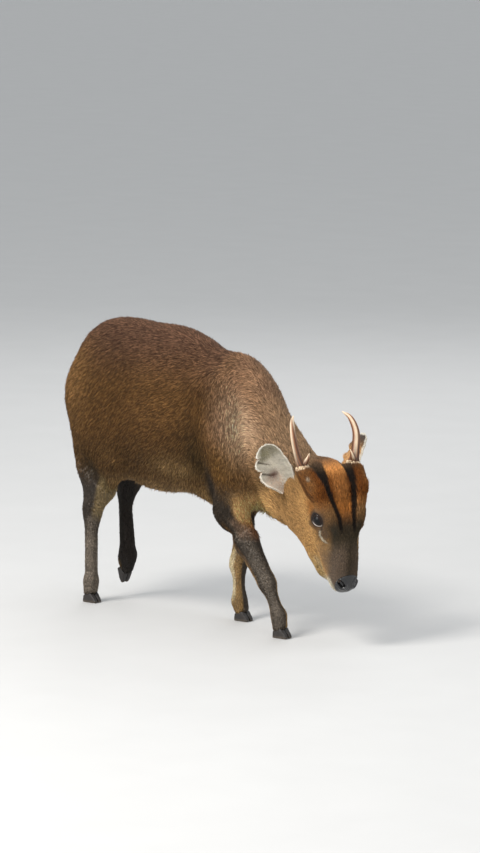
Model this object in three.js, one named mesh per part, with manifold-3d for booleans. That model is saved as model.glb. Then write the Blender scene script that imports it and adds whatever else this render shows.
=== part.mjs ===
// A Reeves's muntjac buck, life size, walking with its head lowered and one hind foot lifted.
// Millimetres. +X is the way the body faces, +Y its left, +Z up, and the floor is z = 0.
// The flesh is one smooth field of rounded muscles. Each part is a net drawn over that field in a
// frame of its own, and thin cuts of JOINT_GAP part it from its neighbours.
import * as THREE from "three";
import { mergeVertices } from "three/addons/utils/BufferGeometryUtils.js";
import Module from "manifold-3d";

const wasm = await Module();
wasm.setup();

// Driving dimensions
const BACK_HEIGHT = 446; // floor to the top of the arched back
const WITHERS_HEIGHT = 416;
const BELLY_HEIGHT = 187;
const RUMP_X = -240; // the back of the haunches
const CHEST_X = 186; // the front of the breast
const BELLY_HALF_WIDTH = 84;
const JOINT_GAP = 0.3; // between two parts that touch
const SEAM_CLEARANCE = 0.9; // between a part and the curved skin that it grows from
const EYE_RADIUS = 12.5;
const EYE_SLIT = 11; // half the length of the opening between the lids
const LID = 2.2; // thickness of the eyelids
const EAR_LENGTH = 74;
const EAR_WIDTH = 53;
const EAR_WALL = 2.4;
const BURR_RADIUS = 10.5; // ring at the foot of each antler
const TINE_TIP = 0.9;
const CLAW_WIDTH = 10;
const CORONET_HEIGHT = 13; // top of the claws over the sole
const GROOVE = 1.1; // depth of the lip line and the gland slits

// The head's own frame: x to the nose, y to its left, z up out of the forehead, from a point
// on the bridge between the eyes.
const BROW = new THREE.Vector3(338, -17, 193);
const HEAD_YAW = -13; // degrees to the left of the body
const HEAD_PITCH = 75; // degrees below level

// The middle of the animal's footprint, which becomes the origin
const MIDDLE = [41, 7];

const LEFT = 1;
const RIGHT = -1;
const sides = [
  ["left", LEFT],
  ["right", RIGHT],
];

// A frame turned by yaw, then pitched nose down, then rolled, in degrees.
function frameAt(origin, yaw = 0, pitch = 0, roll = 0) {
  const turn = new THREE.Euler(
    THREE.MathUtils.degToRad(roll),
    THREE.MathUtils.degToRad(pitch),
    THREE.MathUtils.degToRad(yaw),
    "ZYX",
  );
  return new THREE.Matrix4().makeRotationFromEuler(turn).setPosition(origin);
}

const world = new THREE.Matrix4();
const head = frameAt(BROW, HEAD_YAW, HEAD_PITCH);
const point = (x, y, z, frame = world) => new THREE.Vector3(x, y, z).applyMatrix4(frame);

// Muscles: each is a function from a point to its distance outside the muscle.

// An ellipsoid, with its radii along its own axes.
function ball(centre, radii, frame = world) {
  const place = frame.clone().multiply(new THREE.Matrix4().makeTranslation(...centre));
  const into = place.invert();
  const q = new THREE.Vector3();
  const [a, b, c] = radii;
  return (p) => {
    q.copy(p).applyMatrix4(into);
    const near = Math.hypot(q.x / a, q.y / b, q.z / c);
    const slope = Math.hypot(q.x / (a * a), q.y / (b * b), q.z / (c * c));
    return slope < 1e-9 ? -Math.min(a, b, c) : (near * (near - 1)) / slope;
  };
}

// A chain of round cones through stations [x, y, z, radius], as thick across as `width` times
// their radius, where `across` is a direction.
function limb(stations, frame = world, width = 1, across = [0, 1, 0]) {
  const joints = stations.map(([x, y, z]) => point(x, y, z, frame));
  const radii = stations.map((s) => s[3]);
  const side = new THREE.Vector3(...across).transformDirection(frame);
  const squeeze = 1 / width ** 2 - 1;
  const bones = joints.slice(1).map((end, i) => {
    const along = end.clone().sub(joints[i]);
    return [joints[i], along, along.lengthSq(), radii[i], radii[i + 1] - radii[i]];
  });
  const q = new THREE.Vector3();
  return (p) => {
    let least = Infinity;
    for (const [start, along, lengthSq, radius, growth] of bones) {
      q.copy(p).sub(start);
      const t = Math.min(1, Math.max(0, q.dot(along) / lengthSq));
      q.addScaledVector(along, -t);
      const s = q.dot(side);
      least = Math.min(least, Math.sqrt(q.lengthSq() + squeeze * s * s) - radius - growth * t);
    }
    return least;
  };
}

// The smaller of two distances, rounded where they meet over a width k.
function blend(a, b, k) {
  const h = Math.max(k - Math.abs(a - b), 0) / k;
  return Math.min(a, b) - (h * h * k) / 4;
}

const muscles = []; // [distance, how softly it joins what is there]
const grow = (softness, ...shapes) => shapes.forEach((s) => muscles.push([s, softness]));

function fleshAt(p) {
  let d = Infinity;
  for (const [distance, softness] of muscles) {
    const own = distance(p);
    d = d === Infinity ? own : blend(d, own, softness);
  }
  return d;
}

// Legs, from hip or shoulder to the foot, as [x, y, z] of each joint
const legs = {
  hind_right: {
    joints: { stifle: [-118, -54, 244], hock: [-187, -38, 148], fetlock: [-194, -34, 34] },
    ankle: 10.5,
    foot: [-195, -33, 0],
    toe: 0,
  },
  hind_left: {
    joints: { stifle: [-104, 54, 250], hock: [-190, 38, 174], fetlock: [-185, 36, 66] },
    ankle: 13,
    foot: [-199, 35, 36],
    toe: 66,
  },
  fore_right: {
    joints: { elbow: [130, -50, 184], knee: [192, -36, 81], fetlock: [211, -30, 33] },
    ankle: 10.5,
    foot: [214, -28, 0],
    toe: 0,
  },
  fore_left: {
    joints: { elbow: [82, 50, 188], knee: [61, 34, 84], fetlock: [71, 27, 30] },
    ankle: 10.5,
    foot: [79, 26, 0],
    toe: 0,
  },
};

function growTrunk() {
  const backToBelly = BACK_HEIGHT - BELLY_HEIGHT;
  const middle = BELLY_HEIGHT + backToBelly / 2;
  grow(30, ball([-56, 0, middle], [166, BELLY_HALF_WIDTH, backToBelly / 2]));
  grow(30, ball([RUMP_X + 92, 0, 360], [92, 68, 88]));
  grow(30, ball([92, 0, WITHERS_HEIGHT - 98], [78, 56, 98]));
  grow(30, ball([CHEST_X - 98, 0, 246], [98, 50, 72]));
}

function growNeck() {
  const stations = [
    [112, 0, 300, 78],
    [182, -4, 250, 67],
    [250, -12, 215, 57],
  ];
  grow(26, limb(stations, world, 0.68));
}

function growHaunch(side, stifle) {
  const [x, y, z] = stifle;
  const thigh = [
    [-176, side * 40, 326, 58],
    [-152, side * 48, 272, 52],
    [x - 10, y, z, 30],
  ];
  const ham = [
    [-196, side * 34, 310, 36],
    [-192, side * 38, 230, 30],
    [-183, side * 38, 186, 19],
  ];
  grow(26, limb(thigh, world, 0.62));
  grow(20, limb(ham, world, 0.7));
}

function growShoulder(side, elbow) {
  const [x, y, z] = elbow;
  const blade = [
    [80, side * 44, 356, 32],
    [130, side * 44, 262, 42],
    [x - 2, y, z + 14, 30],
  ];
  grow(24, limb(blade, world, 0.66));
}

function growHindLeg({ joints: { stifle, hock, fetlock }, ankle, foot, toe }) {
  const [hx, hy, hz] = hock;
  const shank = [[...stifle, 30], [hx + 26, hy, hz + 34, 20], [...hock, 12.5]];
  const heel = [
    [hx - 2, hy, hz + 50, 8],
    [hx - 13, hy, hz + 9, 7.5],
    [hx - 4, hy, hz - 18, 9],
  ];
  const cannon = [[hx + 3, hy, hz, 15], [hx - 2, hy, hz - 34, 10], [...fetlock, ankle]];
  grow(16, limb(shank, world, 0.8));
  grow(7, limb(heel, world, 0.7));
  grow(8, limb(cannon, world, 0.85));
  growPastern(fetlock, ankle, foot, toe);
}

function growForeLeg({ joints: { elbow, knee, fetlock }, ankle, foot, toe }) {
  const [x, y, z] = elbow;
  const forearm = [
    [...elbow, 29],
    [...midway(elbow, knee, 0.28), 25],
    [...midway(elbow, knee, 0.6), 17],
    [...knee, 13.5],
  ];
  const elbowTip = [[x - 20, y, z + 4, 10], [x - 4, y, z - 12, 12]];
  const cannon = [[...knee, 13.5], [...midway(knee, fetlock, 0.45), 9], [...fetlock, ankle]];
  grow(14, limb(forearm, world, 0.8));
  grow(8, limb(elbowTip));
  grow(6, limb(cannon, world, 0.88));
  growPastern(fetlock, ankle, foot, toe);
}

const midway = (a, b, t) => a.map((v, i) => v + (b[i] - v) * t);

function growPastern(fetlock, ankle, foot, toe) {
  const frame = frameAt(new THREE.Vector3(...foot), 0, toe);
  const coronet = point(-2, 0, CORONET_HEIGHT, frame).toArray();
  const quick = point(0, 0, CORONET_HEIGHT - 7, frame).toArray();
  grow(6, limb([[...fetlock, ankle], [...coronet, 9.5], [...quick, 9]], world, 1.1));
  for (const [, side] of sides) {
    const dewclaw = new THREE.Vector3(...midway(fetlock, coronet, 0.25)).sub(point(9, side * -7, 0));
    grow(3, ball(dewclaw.toArray(), [4.5, 3.6, 6]));
  }
}

const eyeCentre = (side) => [-6.5, side * 32.5, -21];
const gaze = (side) => [0, side * 0.92, 0.4];

const MUZZLE = [
  [-36, 0, -32, 26],
  [0, 0, -25, 25],
  [36, 0, -26, 23],
  [68, 0, -31, 20],
  [89, 0, -33, 15.5],
];
const JAW = [
  [-14, 0, -75, 28],
  [36, 0, -69, 26],
  [62, 0, -62, 20.5],
  [90, 0, -44, 9],
];

function growHead() {
  grow(16, ball([-52, 0, -46], [44, 38, 42], head));
  grow(14, limb(MUZZLE, head));
  grow(12, limb(JAW, head, 1.1));
  for (const [, side] of sides) {
    const y = (v) => side * v;
    grow(14, ball([-6, y(24), -66], [36, 16, 30], head));
    const cheek = [
      [-34, y(32), -38, 13],
      [10, y(28), -36, 12],
      [46, y(20), -36, 12],
      [86, y(10), -34, 11],
    ];
    const pedicle = [
      [18, y(15), -11, 8],
      [-16, y(25), -12, 12],
      [-48, y(38), -17, 15.5],
      [-84, y(45), -32, 12],
    ];
    grow(12, limb(cheek, head));
    grow(8, ball([-4, y(30), -20], [21, 12, 14], head));
    grow(4, ball(eyeCentre(side), [EYE_RADIUS + LID, EYE_RADIUS + LID, EYE_RADIUS + LID], head));
    grow(10, limb([[-46, y(26), -62, 15], [-56, y(42), -74, 9]], head));
    grow(10, limb(pedicle, head));
  }
}

growTrunk();
growNeck();
growHaunch(RIGHT, legs.hind_right.joints.stifle);
growHaunch(LEFT, legs.hind_left.joints.stifle);
growShoulder(RIGHT, legs.fore_right.joints.elbow);
growShoulder(LEFT, legs.fore_left.joints.elbow);
growHindLeg(legs.hind_right);
growHindLeg(legs.hind_left);
growForeLeg(legs.fore_right);
growForeLeg(legs.fore_left);
growHead();

// A closed net over a field, inside a box of a frame, with cells of the given size along the
// frame's axes. Each crossed cell has one point, which is then moved onto the surface.
function net(field, low, high, cell, frame = world) {
  const count = low.map((v, i) => Math.ceil((high[i] - v) / cell[i]) + 1);
  const step = low.map((v, i) => (high[i] - v) / (count[i] - 1));
  const at = (i, j, k) => i + count[0] * (j + count[1] * k);
  const spot = (...cellAt) => new THREE.Vector3(...cellAt.map((n, i) => low[i] + n * step[i]));
  const onRim = (i, n) => i === 0 || i === n - 1;
  const values = new Float64Array(count[0] * count[1] * count[2]);
  for (let k = 0; k < count[2]; k++)
    for (let j = 0; j < count[1]; j++)
      for (let i = 0; i < count[0]; i++) {
        const rim = onRim(i, count[0]) || onRim(j, count[1]) || onRim(k, count[2]);
        const value = field(spot(i, j, k).applyMatrix4(frame));
        values[at(i, j, k)] = rim ? Math.max(value, 0.2 * step[0]) : value;
      }
  settle(values, count);
  const positions = [];
  const pointOf = new Map();
  const cellPoint = (i, j, k) => {
    const key = at(i, j, k);
    if (!pointOf.has(key)) {
      pointOf.set(key, positions.length / 3);
      positions.push(...cellCentre(i, j, k).toArray());
    }
    return pointOf.get(key);
  };
  const cellCentre = (i, j, k) => {
    const sum = new THREE.Vector3();
    let crossings = 0;
    for (const [a, b] of CELL_EDGES) {
      const [ia, ja, ka] = [i + (a & 1), j + ((a >> 1) & 1), k + (a >> 2)];
      const [ib, jb, kb] = [i + (b & 1), j + ((b >> 1) & 1), k + (b >> 2)];
      const [va, vb] = [values[at(ia, ja, ka)], values[at(ib, jb, kb)]];
      if (va < 0 === vb < 0) continue;
      sum.add(spot(ia, ja, ka).lerp(spot(ib, jb, kb), va / (va - vb)));
      crossings++;
    }
    const centre = sum.divideScalar(crossings).applyMatrix4(frame);
    const rim = [i, j, k].some((n, axis) => n === 0 || n === count[axis] - 2);
    return rim ? centre : ontoSurface(field, centre, Math.min(...step));
  };
  const quads = [];
  const around = [
    [1, 2],
    [2, 0],
    [0, 1],
  ];
  for (let k = 0; k < count[2] - 1; k++)
    for (let j = 0; j < count[1] - 1; j++)
      for (let i = 0; i < count[0] - 1; i++)
        for (let axis = 0; axis < 3; axis++) {
          const here = [i, j, k];
          const next = [...here];
          next[axis]++;
          const inside = values[at(...here)] < 0;
          if (inside === values[at(...next)] < 0) continue;
          const [u, v] = around[axis];
          const corner = (du, dv) => {
            const c = [...here];
            c[u] -= du;
            c[v] -= dv;
            return cellPoint(...c);
          };
          const quad = [corner(1, 1), corner(0, 1), corner(0, 0), corner(1, 0)];
          quads.push(inside ? quad : quad.reverse());
        }
  const far = (a, b) =>
    Math.hypot(...[0, 1, 2].map((n) => positions[3 * a + n] - positions[3 * b + n]));
  const index = quads.flatMap(([a, b, c, d]) =>
    far(a, c) < far(b, d) ? [a, b, c, a, c, d] : [a, b, d, b, c, d],
  );
  const geometry = new THREE.BufferGeometry();
  geometry.setAttribute("position", new THREE.Float32BufferAttribute(positions, 3));
  geometry.setIndex(index);
  return solid(geometry);
}

// Where a cell's face has two opposite corners inside and two outside, the corner nearest the
// surface changes sides, so that the net never touches itself.
function settle(values, count) {
  const stride = [1, count[0], count[0] * count[1]];
  let changed = true;
  while (changed) {
    changed = false;
    for (const [u, v] of FACE_AXES)
      for (let n = 0; n + stride[u] + stride[v] < values.length; n++) {
        const face = [n, n + stride[u], n + stride[u] + stride[v], n + stride[v]];
        const [a, b, c, d] = face.map((m) => values[m] < 0);
        if (a !== c || b !== d || a === b) continue;
        const nearest = face.reduce((m, o) => (Math.abs(values[o]) < Math.abs(values[m]) ? o : m));
        values[nearest] = values[nearest] < 0 ? 0.01 : -0.01;
        changed = true;
      }
  }
}

const FACE_AXES = [
  [0, 1],
  [1, 2],
  [0, 2],
];

// The twelve edges of a cell, by its corners' numbers in binary
const CELL_EDGES = [0, 1, 2, 3, 4, 5, 6, 7].flatMap((a) =>
  [1, 2, 4].filter((bit) => !(a & bit)).map((bit) => [a, a | bit]),
);

function ontoSurface(field, p, reach) {
  const e = 0.05;
  const slope = new THREE.Vector3();
  for (let round = 0; round < 3; round++) {
    const here = field(p);
    const along = (x, y, z) => field(new THREE.Vector3(p.x + x, p.y + y, p.z + z));
    slope.set(along(e, 0, 0) - here, along(0, e, 0) - here, along(0, 0, e) - here).divideScalar(e);
    const move = THREE.MathUtils.clamp(here / Math.max(slope.lengthSq(), 0.2), -reach / 2, reach / 2);
    p.addScaledVector(slope, -move);
  }
  return p;
}

// A closed three.js geometry as a solid that faces out, whichever way round its triangles were.
function solid(geometry, frame = world) {
  const bare = new THREE.BufferGeometry();
  bare.setAttribute("position", geometry.getAttribute("position").clone());
  if (geometry.index) bare.setIndex(geometry.index.clone());
  const merged = mergeVertices(bare.applyMatrix4(frame), 1e-3);
  const vertProperties = merged.attributes.position.array;
  const triVerts = new Uint32Array(merged.index.array);
  const made = () => new wasm.Manifold(new wasm.Mesh({ numProp: 3, vertProperties, triVerts }));
  if (made().volume() < 0) triVerts.reverse();
  return made();
}

function largest(made) {
  return made.decompose().reduce((a, b) => (b.volume() > a.volume() ? b : a));
}

function geometryOf(made) {
  const mesh = largest(made).getMesh();
  const geometry = new THREE.BufferGeometry();
  geometry.setAttribute("position", new THREE.BufferAttribute(new Float32Array(mesh.vertProperties), 3));
  geometry.setIndex(new THREE.BufferAttribute(new Uint32Array(mesh.triVerts), 1));
  geometry.computeVertexNormals();
  return geometry;
}

// A box that starts `gap` past a point and runs on along a direction, as wide as twice `half`.
function block(at, along, half, length = 2 * half, gap = 0) {
  const way = new THREE.Vector3(...along).normalize();
  const turn = new THREE.Quaternion().setFromUnitVectors(new THREE.Vector3(0, 0, 1), way);
  const centre = new THREE.Vector3(...at).addScaledVector(way, length / 2 + gap);
  const frame = new THREE.Matrix4().compose(centre, turn, new THREE.Vector3(1, 1, 1));
  return solid(new THREE.BoxGeometry(2 * half, 2 * half, length), frame);
}

const FAR = 600;
const past = (at, along) => block(at, along, FAR, FAR, JOINT_GAP / 2);
const before = (at, along) => past(at, along.map((v) => -v));

// A round rod of changing thickness along a smooth curve.
function rod(points, radii, around = 14, rings = 12) {
  const curve = new THREE.CatmullRomCurve3(points.map((p) => new THREE.Vector3(...p)));
  const { normals, binormals } = curve.computeFrenetFrames(rings);
  const geometry = new THREE.CylinderGeometry(1, 1, 1, around, rings);
  const places = geometry.getAttribute("position");
  for (let n = 0; n < places.count; n++) {
    const t = 0.5 - places.getY(n);
    const ring = Math.round(t * rings);
    const spot = Math.min(t * (radii.length - 1), radii.length - 1.001);
    const first = Math.floor(spot);
    const radius = THREE.MathUtils.lerp(radii[first], radii[first + 1], spot - first);
    const at = curve.getPoint(t);
    at.addScaledVector(normals[ring], radius * places.getZ(n));
    at.addScaledVector(binormals[ring], radius * places.getX(n));
    places.setXYZ(n, at.x, at.y, at.z);
  }
  return solid(geometry);
}

// A frame at a point, with z along a direction and x as near as can be to another.
function aimed(at, z, x, frame = world) {
  const up = new THREE.Vector3(...z).normalize();
  const left = up.clone().cross(new THREE.Vector3(...x)).normalize();
  const basis = new THREE.Matrix4().makeBasis(left.clone().cross(up), left, up);
  return frame.clone().multiply(basis.setPosition(...at));
}

function ellipsoid(radii, frame, around = 16) {
  const geometry = new THREE.SphereGeometry(1, around, Math.round(around * 0.75));
  return solid(geometry.scale(...radii), frame);
}

const coats = {
  body_fur: { color: 0x5a3620, roughness: 0.9 },
  neck_fur: { color: 0x6b4a30, roughness: 0.9 },
  face_fur: { color: 0x8a5426, roughness: 0.85 },
  leg_fur: { color: 0x2a1c15, roughness: 0.8 },
  ear_skin: { color: 0xb9b0a2, roughness: 0.9 },
  antler: { color: 0xb88c5e, roughness: 0.45 },
  hoof: { color: 0x1a1613, roughness: 0.5 },
  nose: { color: 0x1b191b, roughness: 0.35 },
  eye: { color: 0x120b08, roughness: 0.08 },
};
const materialOf = (name) => new THREE.MeshStandardMaterial({ name, ...coats[name], metalness: 0 });
const materials = Object.fromEntries(Object.keys(coats).map((name) => [name, materialOf(name)]));

const muntjac = new THREE.Group();

function add(name, made, coat) {
  const geometry = geometryOf(made).translate(-MIDDLE[0], -MIDDLE[1], 0);
  const mesh = new THREE.Mesh(geometry, materials[coat]);
  mesh.name = name;
  muntjac.add(mesh);
  return made;
}

// Torso and neck, parted by planes across the loin, behind the shoulder, at the neck's foot and
// at the nape
const LOIN = [[-96, 0, 300], [-1, 0, 0]];
const HEART = [[36, 0, 300], [1, 0, 0]];
const NECK_FOOT = [[154, 0, 300], [0.955, 0, 0.296]];
const NAPE = [point(-72, 0, -72, head).toArray(), [0.93, -0.2, -0.3]];
const legRoots = {
  hind_right: [[-158, -44, 196], [-0.56, 0.1, -0.81]],
  hind_left: [[-163, 43, 206], [-0.6, 0, -0.8]],
  fore_right: [[150, -46, 152], [0.3, 0.05, -0.95]],
  fore_left: [[79, 46, 158], [-0.15, -0.1, -0.98]],
};
const LEG_BLOCK = 48;

function addTorso() {
  let torso = net(fleshAt, [-256, -100, 140], [300, 100, 470], [18, 16, 16]);
  for (const [at, along] of Object.values(legRoots))
    torso = torso.subtract(block(at, along, LEG_BLOCK));
  add("hindquarters", torso.intersect(past(...LOIN)), "body_fur");
  add("barrel", torso.intersect(before(...LOIN)).intersect(before(...HEART)), "body_fur");
  add("shoulders", torso.intersect(past(...HEART)).intersect(before(...NECK_FOOT)), "body_fur");
  add("neck", torso.intersect(past(...NECK_FOOT)).intersect(before(...NAPE)), "neck_fur");
}

// The tail hangs flat against the rump.
function addTail() {
  const dock = [
    [-228, 0, 372, 12],
    [-243, 0, 340, 12],
    [-247, 0, 300, 11],
    [-246, 0, 262, 6.5],
  ];
  const tail = limb(dock, world, 1.6);
  const made = net(tail, [-275, -24, 246], [-212, 24, 384], [8, 8, 12]);
  const rump = net((p) => fleshAt(p) - SEAM_CLEARANCE, [-262, -32, 236], [-200, 32, 400], [9, 9, 12]);
  add("tail", made.subtract(rump), "body_fur");
}

function addLeg(name, { joints, foot, toe }) {
  const [upper, middle] = name.startsWith("hind") ? ["shank", "hock"] : ["forearm", "knee"];
  const joint = joints[middle];
  const down = joints.fetlock.map((v, i) => v - joint[i]);
  const sole = frameAt(new THREE.Vector3(...foot), 0, toe);
  const coronet = point(-2, 0, CORONET_HEIGHT, sole).toArray();
  const tilt = new THREE.Vector3(-0.32, 0, 0.95).transformDirection(sole).toArray();
  const [x, y, z] = joint;
  const whole = (low, high, cell) =>
    net(fleshAt, [x - 54, y - 30, low], [x + 66, y + 30, high], cell);
  const root = block(...legRoots[name], LEG_BLOCK, 200, JOINT_GAP);
  const top = whole(z - 20, 240, [9, 8, 12]).intersect(root);
  add(`${name}_${upper}`, top.intersect(before(joint, down)), "leg_fur");
  const low = whole(0, z + 30, [7, 6, 11]).intersect(past(joint, down));
  add(`${name}_cannon`, low.intersect(past(coronet, tilt)), "leg_fur");
  for (const [word, side] of sides) add(`${name}_claw_${word}`, claw(side, sole), "hoof");
}

// One of a foot's two claws: flat below, sloped to the toe in front and to the coronet on top.
function claw(side, sole) {
  const height = CORONET_HEIGHT - JOINT_GAP / 2;
  const outline = new THREE.Shape();
  outline.moveTo(-9.5, 0);
  outline.lineTo(14.5, 0);
  outline.lineTo(16, 2.5);
  outline.lineTo(13, 7);
  outline.lineTo(5, height + 2.3);
  outline.lineTo(-8.5, height - 2.2);
  const bevel = { bevelThickness: 1.5, bevelSize: 0.01, bevelOffset: -0.01, bevelSegments: 1 };
  const geometry = new THREE.ExtrudeGeometry(outline, { depth: CLAW_WIDTH - 3, ...bevel, steps: 1 });
  const places = geometry.getAttribute("position");
  for (let n = 0; n < places.count; n++) {
    const forward = (places.getX(n) + 11.5) / 27;
    const inner = CLAW_WIDTH / 2 + 0.6;
    const across = (places.getZ(n) - (CLAW_WIDTH - 3) / 2) * (1 - 0.45 * forward ** 2);
    places.setXYZ(n, places.getX(n), side * inner + across - side * 1.5 * forward, places.getY(n));
  }
  return solid(geometry, sole);
}

// A closed shape spread over a curling ear: x across, y from root to tip, z toward the opening.
function earCup(frame) {
  const geometry = new THREE.BoxGeometry(2, 1, EAR_WALL, 10, 8, 1);
  const places = geometry.getAttribute("position");
  for (let n = 0; n < places.count; n++) {
    const along = places.getY(n) + 0.5;
    const half = (EAR_WIDTH / 2) * Math.sin(Math.PI * (0.13 + 0.8 * along)) ** 0.7;
    const curl = THREE.MathUtils.lerp(2.3, 0.5, along ** 0.6);
    const radius = half / curl;
    const angle = curl * places.getX(n);
    const out = radius - places.getZ(n);
    const lift = radius - out * Math.cos(angle) + 6 * along ** 2;
    places.setXYZ(n, out * Math.sin(angle), along * EAR_LENGTH, lift);
  }
  return solid(geometry, frame);
}

// Each ear: its root, the point its axis aims at, and the way its opening faces, in the head's frame
const ears = {
  right: { root: [-56, -50, -74], tip: [-124, -80, -78], open: [0.07, -0.4, 0.9] },
  left: { root: [-70, 45, -76], tip: [-132, 88, -66], open: [0.4, 0.85, 0.05] },
};

function addEar(word, { root, tip, open }) {
  const along = new THREE.Vector3(...tip).sub(new THREE.Vector3(...root)).normalize();
  const facing = new THREE.Vector3(...open);
  facing.addScaledVector(along, -facing.dot(along)).normalize();
  const basis = new THREE.Matrix4().makeBasis(along.clone().cross(facing), along, facing);
  const frame = head.clone().multiply(basis.setPosition(...root));
  const corner = point(...root, head).toArray();
  const skin = (p) => fleshAt(p) - SEAM_CLEARANCE;
  const near = net(skin, corner.map((v) => v - 36), corner.map((v) => v + 36), [6, 6, 6]);
  add(`ear_${word}`, earCup(frame).subtract(near), "ear_skin");
}

// Antlers stand on flat burrs on the pedicles; a short tine leaves each beam low in front.
const burrAt = (side) => [-81, side * 44.5, -32];
const beamPath = (side) => [
  burrAt(side),
  [-102, side * 49.5, -28],
  [-128, side * 53, -25],
  [-150, side * 50, -30],
  [-162, side * 43, -39],
];
const tinePath = (side) => [
  [-84, side * 43, -26],
  [-95, side * 39, -22],
  [-103, side * 36, -21],
];
const BEAM_RADII = [8.6, 6.8, 6.2, 5.8, 5.2, 4.6, 3.7, 2.5, TINE_TIP];
const inWorld = (points) => points.map((p) => point(...p, head).toArray());

function addAntler(word, side) {
  const beam = rod(inWorld(beamPath(side)), BEAM_RADII, 10, 12);
  const seat = aimed(burrAt(side), [-1, 0.2 * side, 0.1], [0, 0, 1], head);
  const ring = new THREE.TorusGeometry(BURR_RADIUS - 3, 3, 6, 14).translate(0, 0, 3);
  const burred = beam.add(solid(ring, seat));
  const flat = seat.clone().multiply(new THREE.Matrix4().makeTranslation(0, 0, JOINT_GAP));
  const stump = new THREE.Vector3().setFromMatrixPosition(flat).toArray();
  const up = new THREE.Vector3(0, 0, 1).transformDirection(flat).toArray();
  const room = rod(inWorld(beamPath(side)), BEAM_RADII.map((r) => r + JOINT_GAP), 10, 12);
  add(`antler_${word}`, burred.intersect(block(stump, up, 60, 120)), "antler");
  const tine = rod(inWorld(tinePath(side)), [5, 3.6, TINE_TIP], 8, 5);
  const clear = solid(ring.scale(1.04, 1.04, 1.04), seat);
  add(`tine_${word}`, tine.subtract(room).subtract(clear).intersect(block(stump, up, 60, 120, 6)), "antler");
}

// A groove along points of the head's skin, or a thread laid in it
const onSkin = (x, y, z) => ontoSurface(fleshAt, point(x, y, z, head), 30).toArray();
function groove(points, width = GROOVE) {
  const widths = [width * 0.6, width, width, width * 0.6];
  return rod(points.map((p) => onSkin(...p)), widths, 4, Math.ceil(points.length * 1.5));
}

function eyeOpening(side) {
  const almond = new THREE.Shape();
  almond.moveTo(-EYE_SLIT, 0);
  almond.quadraticCurveTo(-1, 1.7 * EYE_SLIT, EYE_SLIT, -2);
  almond.quadraticCurveTo(0, -1.55 * EYE_SLIT, -EYE_SLIT, 0);
  const geometry = new THREE.ExtrudeGeometry(almond, { depth: 30, bevelEnabled: false, curveSegments: 5 });
  return solid(geometry, aimed(eyeCentre(side), gaze(side), [1, side * -0.25, -0.35], head));
}

function addHead() {
  let skull = net(fleshAt, [-110, -66, -112], [130, 66, 14], [8, 7.5, 7.5], head);
  skull = skull.intersect(past(...NAPE));
  const lips = [[54, 17, -46], [72, 15, -43], [88, 10, -40], [97, 0, -38]];
  const mirrored = lips.slice(0, -1).map(([x, y, z]) => [x, -y, z]).reverse();
  skull = skull.subtract(groove([...lips, ...mirrored]));
  for (const [word, side] of sides) {
    const y = (v) => side * v;
    const eyeball = (radius) => {
      const frame = head.clone().multiply(new THREE.Matrix4().makeTranslation(...eyeCentre(side)));
      return ellipsoid([radius, radius, radius], frame, 14);
    };
    const burr = point(...burrAt(side), head).toArray();
    const up = new THREE.Vector3(-1, 0.2 * side, 0.1).transformDirection(head).toArray();
    skull = skull.subtract(eyeball(EYE_RADIUS + JOINT_GAP)).subtract(eyeOpening(side));
    skull = skull.subtract(block(burr, up, 20, 40));
    skull = skull.subtract(groove([[11, y(28), -22], [17, y(27), -24], [23, y(23), -21]]));
    skull = skull.subtract(groove([[-14, y(15), 0], [8, y(13), 0], [26, y(10), 0]], 0.8));
    add(`eye_${word}`, eyeball(EYE_RADIUS), "eye");
  }
  const padRadii = [17, 17.5, 12];
  const padFrame = head.clone().multiply(new THREE.Matrix4().makeTranslation(98, 0, -26));
  let pad = skull.intersect(ellipsoid(padRadii.map((r) => r - JOINT_GAP), padFrame, 14));
  skull = skull.subtract(ellipsoid(padRadii, padFrame, 14));
  for (const [, side] of sides) {
    const nostril = aimed(onSkinHead(95, side * 8.5, -24), [0.2, side * 0.9, 0.3], [1, 0, -0.6], head);
    pad = pad.subtract(ellipsoid([5.2, 2.6, 3.4], nostril, 10));
  }
  add("head", skull, "face_fur");
  add("nose_pad", pad, "nose");
}

const toHead = head.clone().invert();
const onSkinHead = (x, y, z) => point(...onSkin(x, y, z), toHead).toArray();

addTorso();
addTail();
addHead();
for (const [name, leg] of Object.entries(legs)) addLeg(name, leg);
for (const [word, ear] of Object.entries(ears)) addEar(word, ear);
for (const [word, side] of sides) addAntler(word, side);

export default muntjac;
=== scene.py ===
"""A muntjac buck at life size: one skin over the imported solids, its coat, head and feet."""

import logging
import math
from dataclasses import asdict, dataclass, field
from enum import Enum

import bmesh
import bpy
import numpy as np
from mathutils import Matrix, Vector
from mathutils.bvhtree import BVHTree


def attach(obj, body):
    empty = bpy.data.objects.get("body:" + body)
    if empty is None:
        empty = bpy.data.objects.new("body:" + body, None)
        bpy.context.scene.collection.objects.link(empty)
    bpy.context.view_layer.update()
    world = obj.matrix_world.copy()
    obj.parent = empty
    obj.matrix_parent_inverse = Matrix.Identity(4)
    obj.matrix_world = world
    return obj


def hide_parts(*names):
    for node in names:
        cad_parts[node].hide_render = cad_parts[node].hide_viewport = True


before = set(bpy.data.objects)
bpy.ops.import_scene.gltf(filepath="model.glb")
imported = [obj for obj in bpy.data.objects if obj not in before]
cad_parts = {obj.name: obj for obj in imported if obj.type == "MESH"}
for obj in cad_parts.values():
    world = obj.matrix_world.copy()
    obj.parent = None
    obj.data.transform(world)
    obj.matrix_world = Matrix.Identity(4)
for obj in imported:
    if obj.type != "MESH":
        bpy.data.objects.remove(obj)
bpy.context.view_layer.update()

LOG = logging.getLogger("muntjac")
MM = 0.001
SEED = 7
PAINT = "markings"

# The middle of the footprint, in the body's own millimetres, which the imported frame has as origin
MIDDLE = np.array([41.0, 7.0, 0.0])

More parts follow.
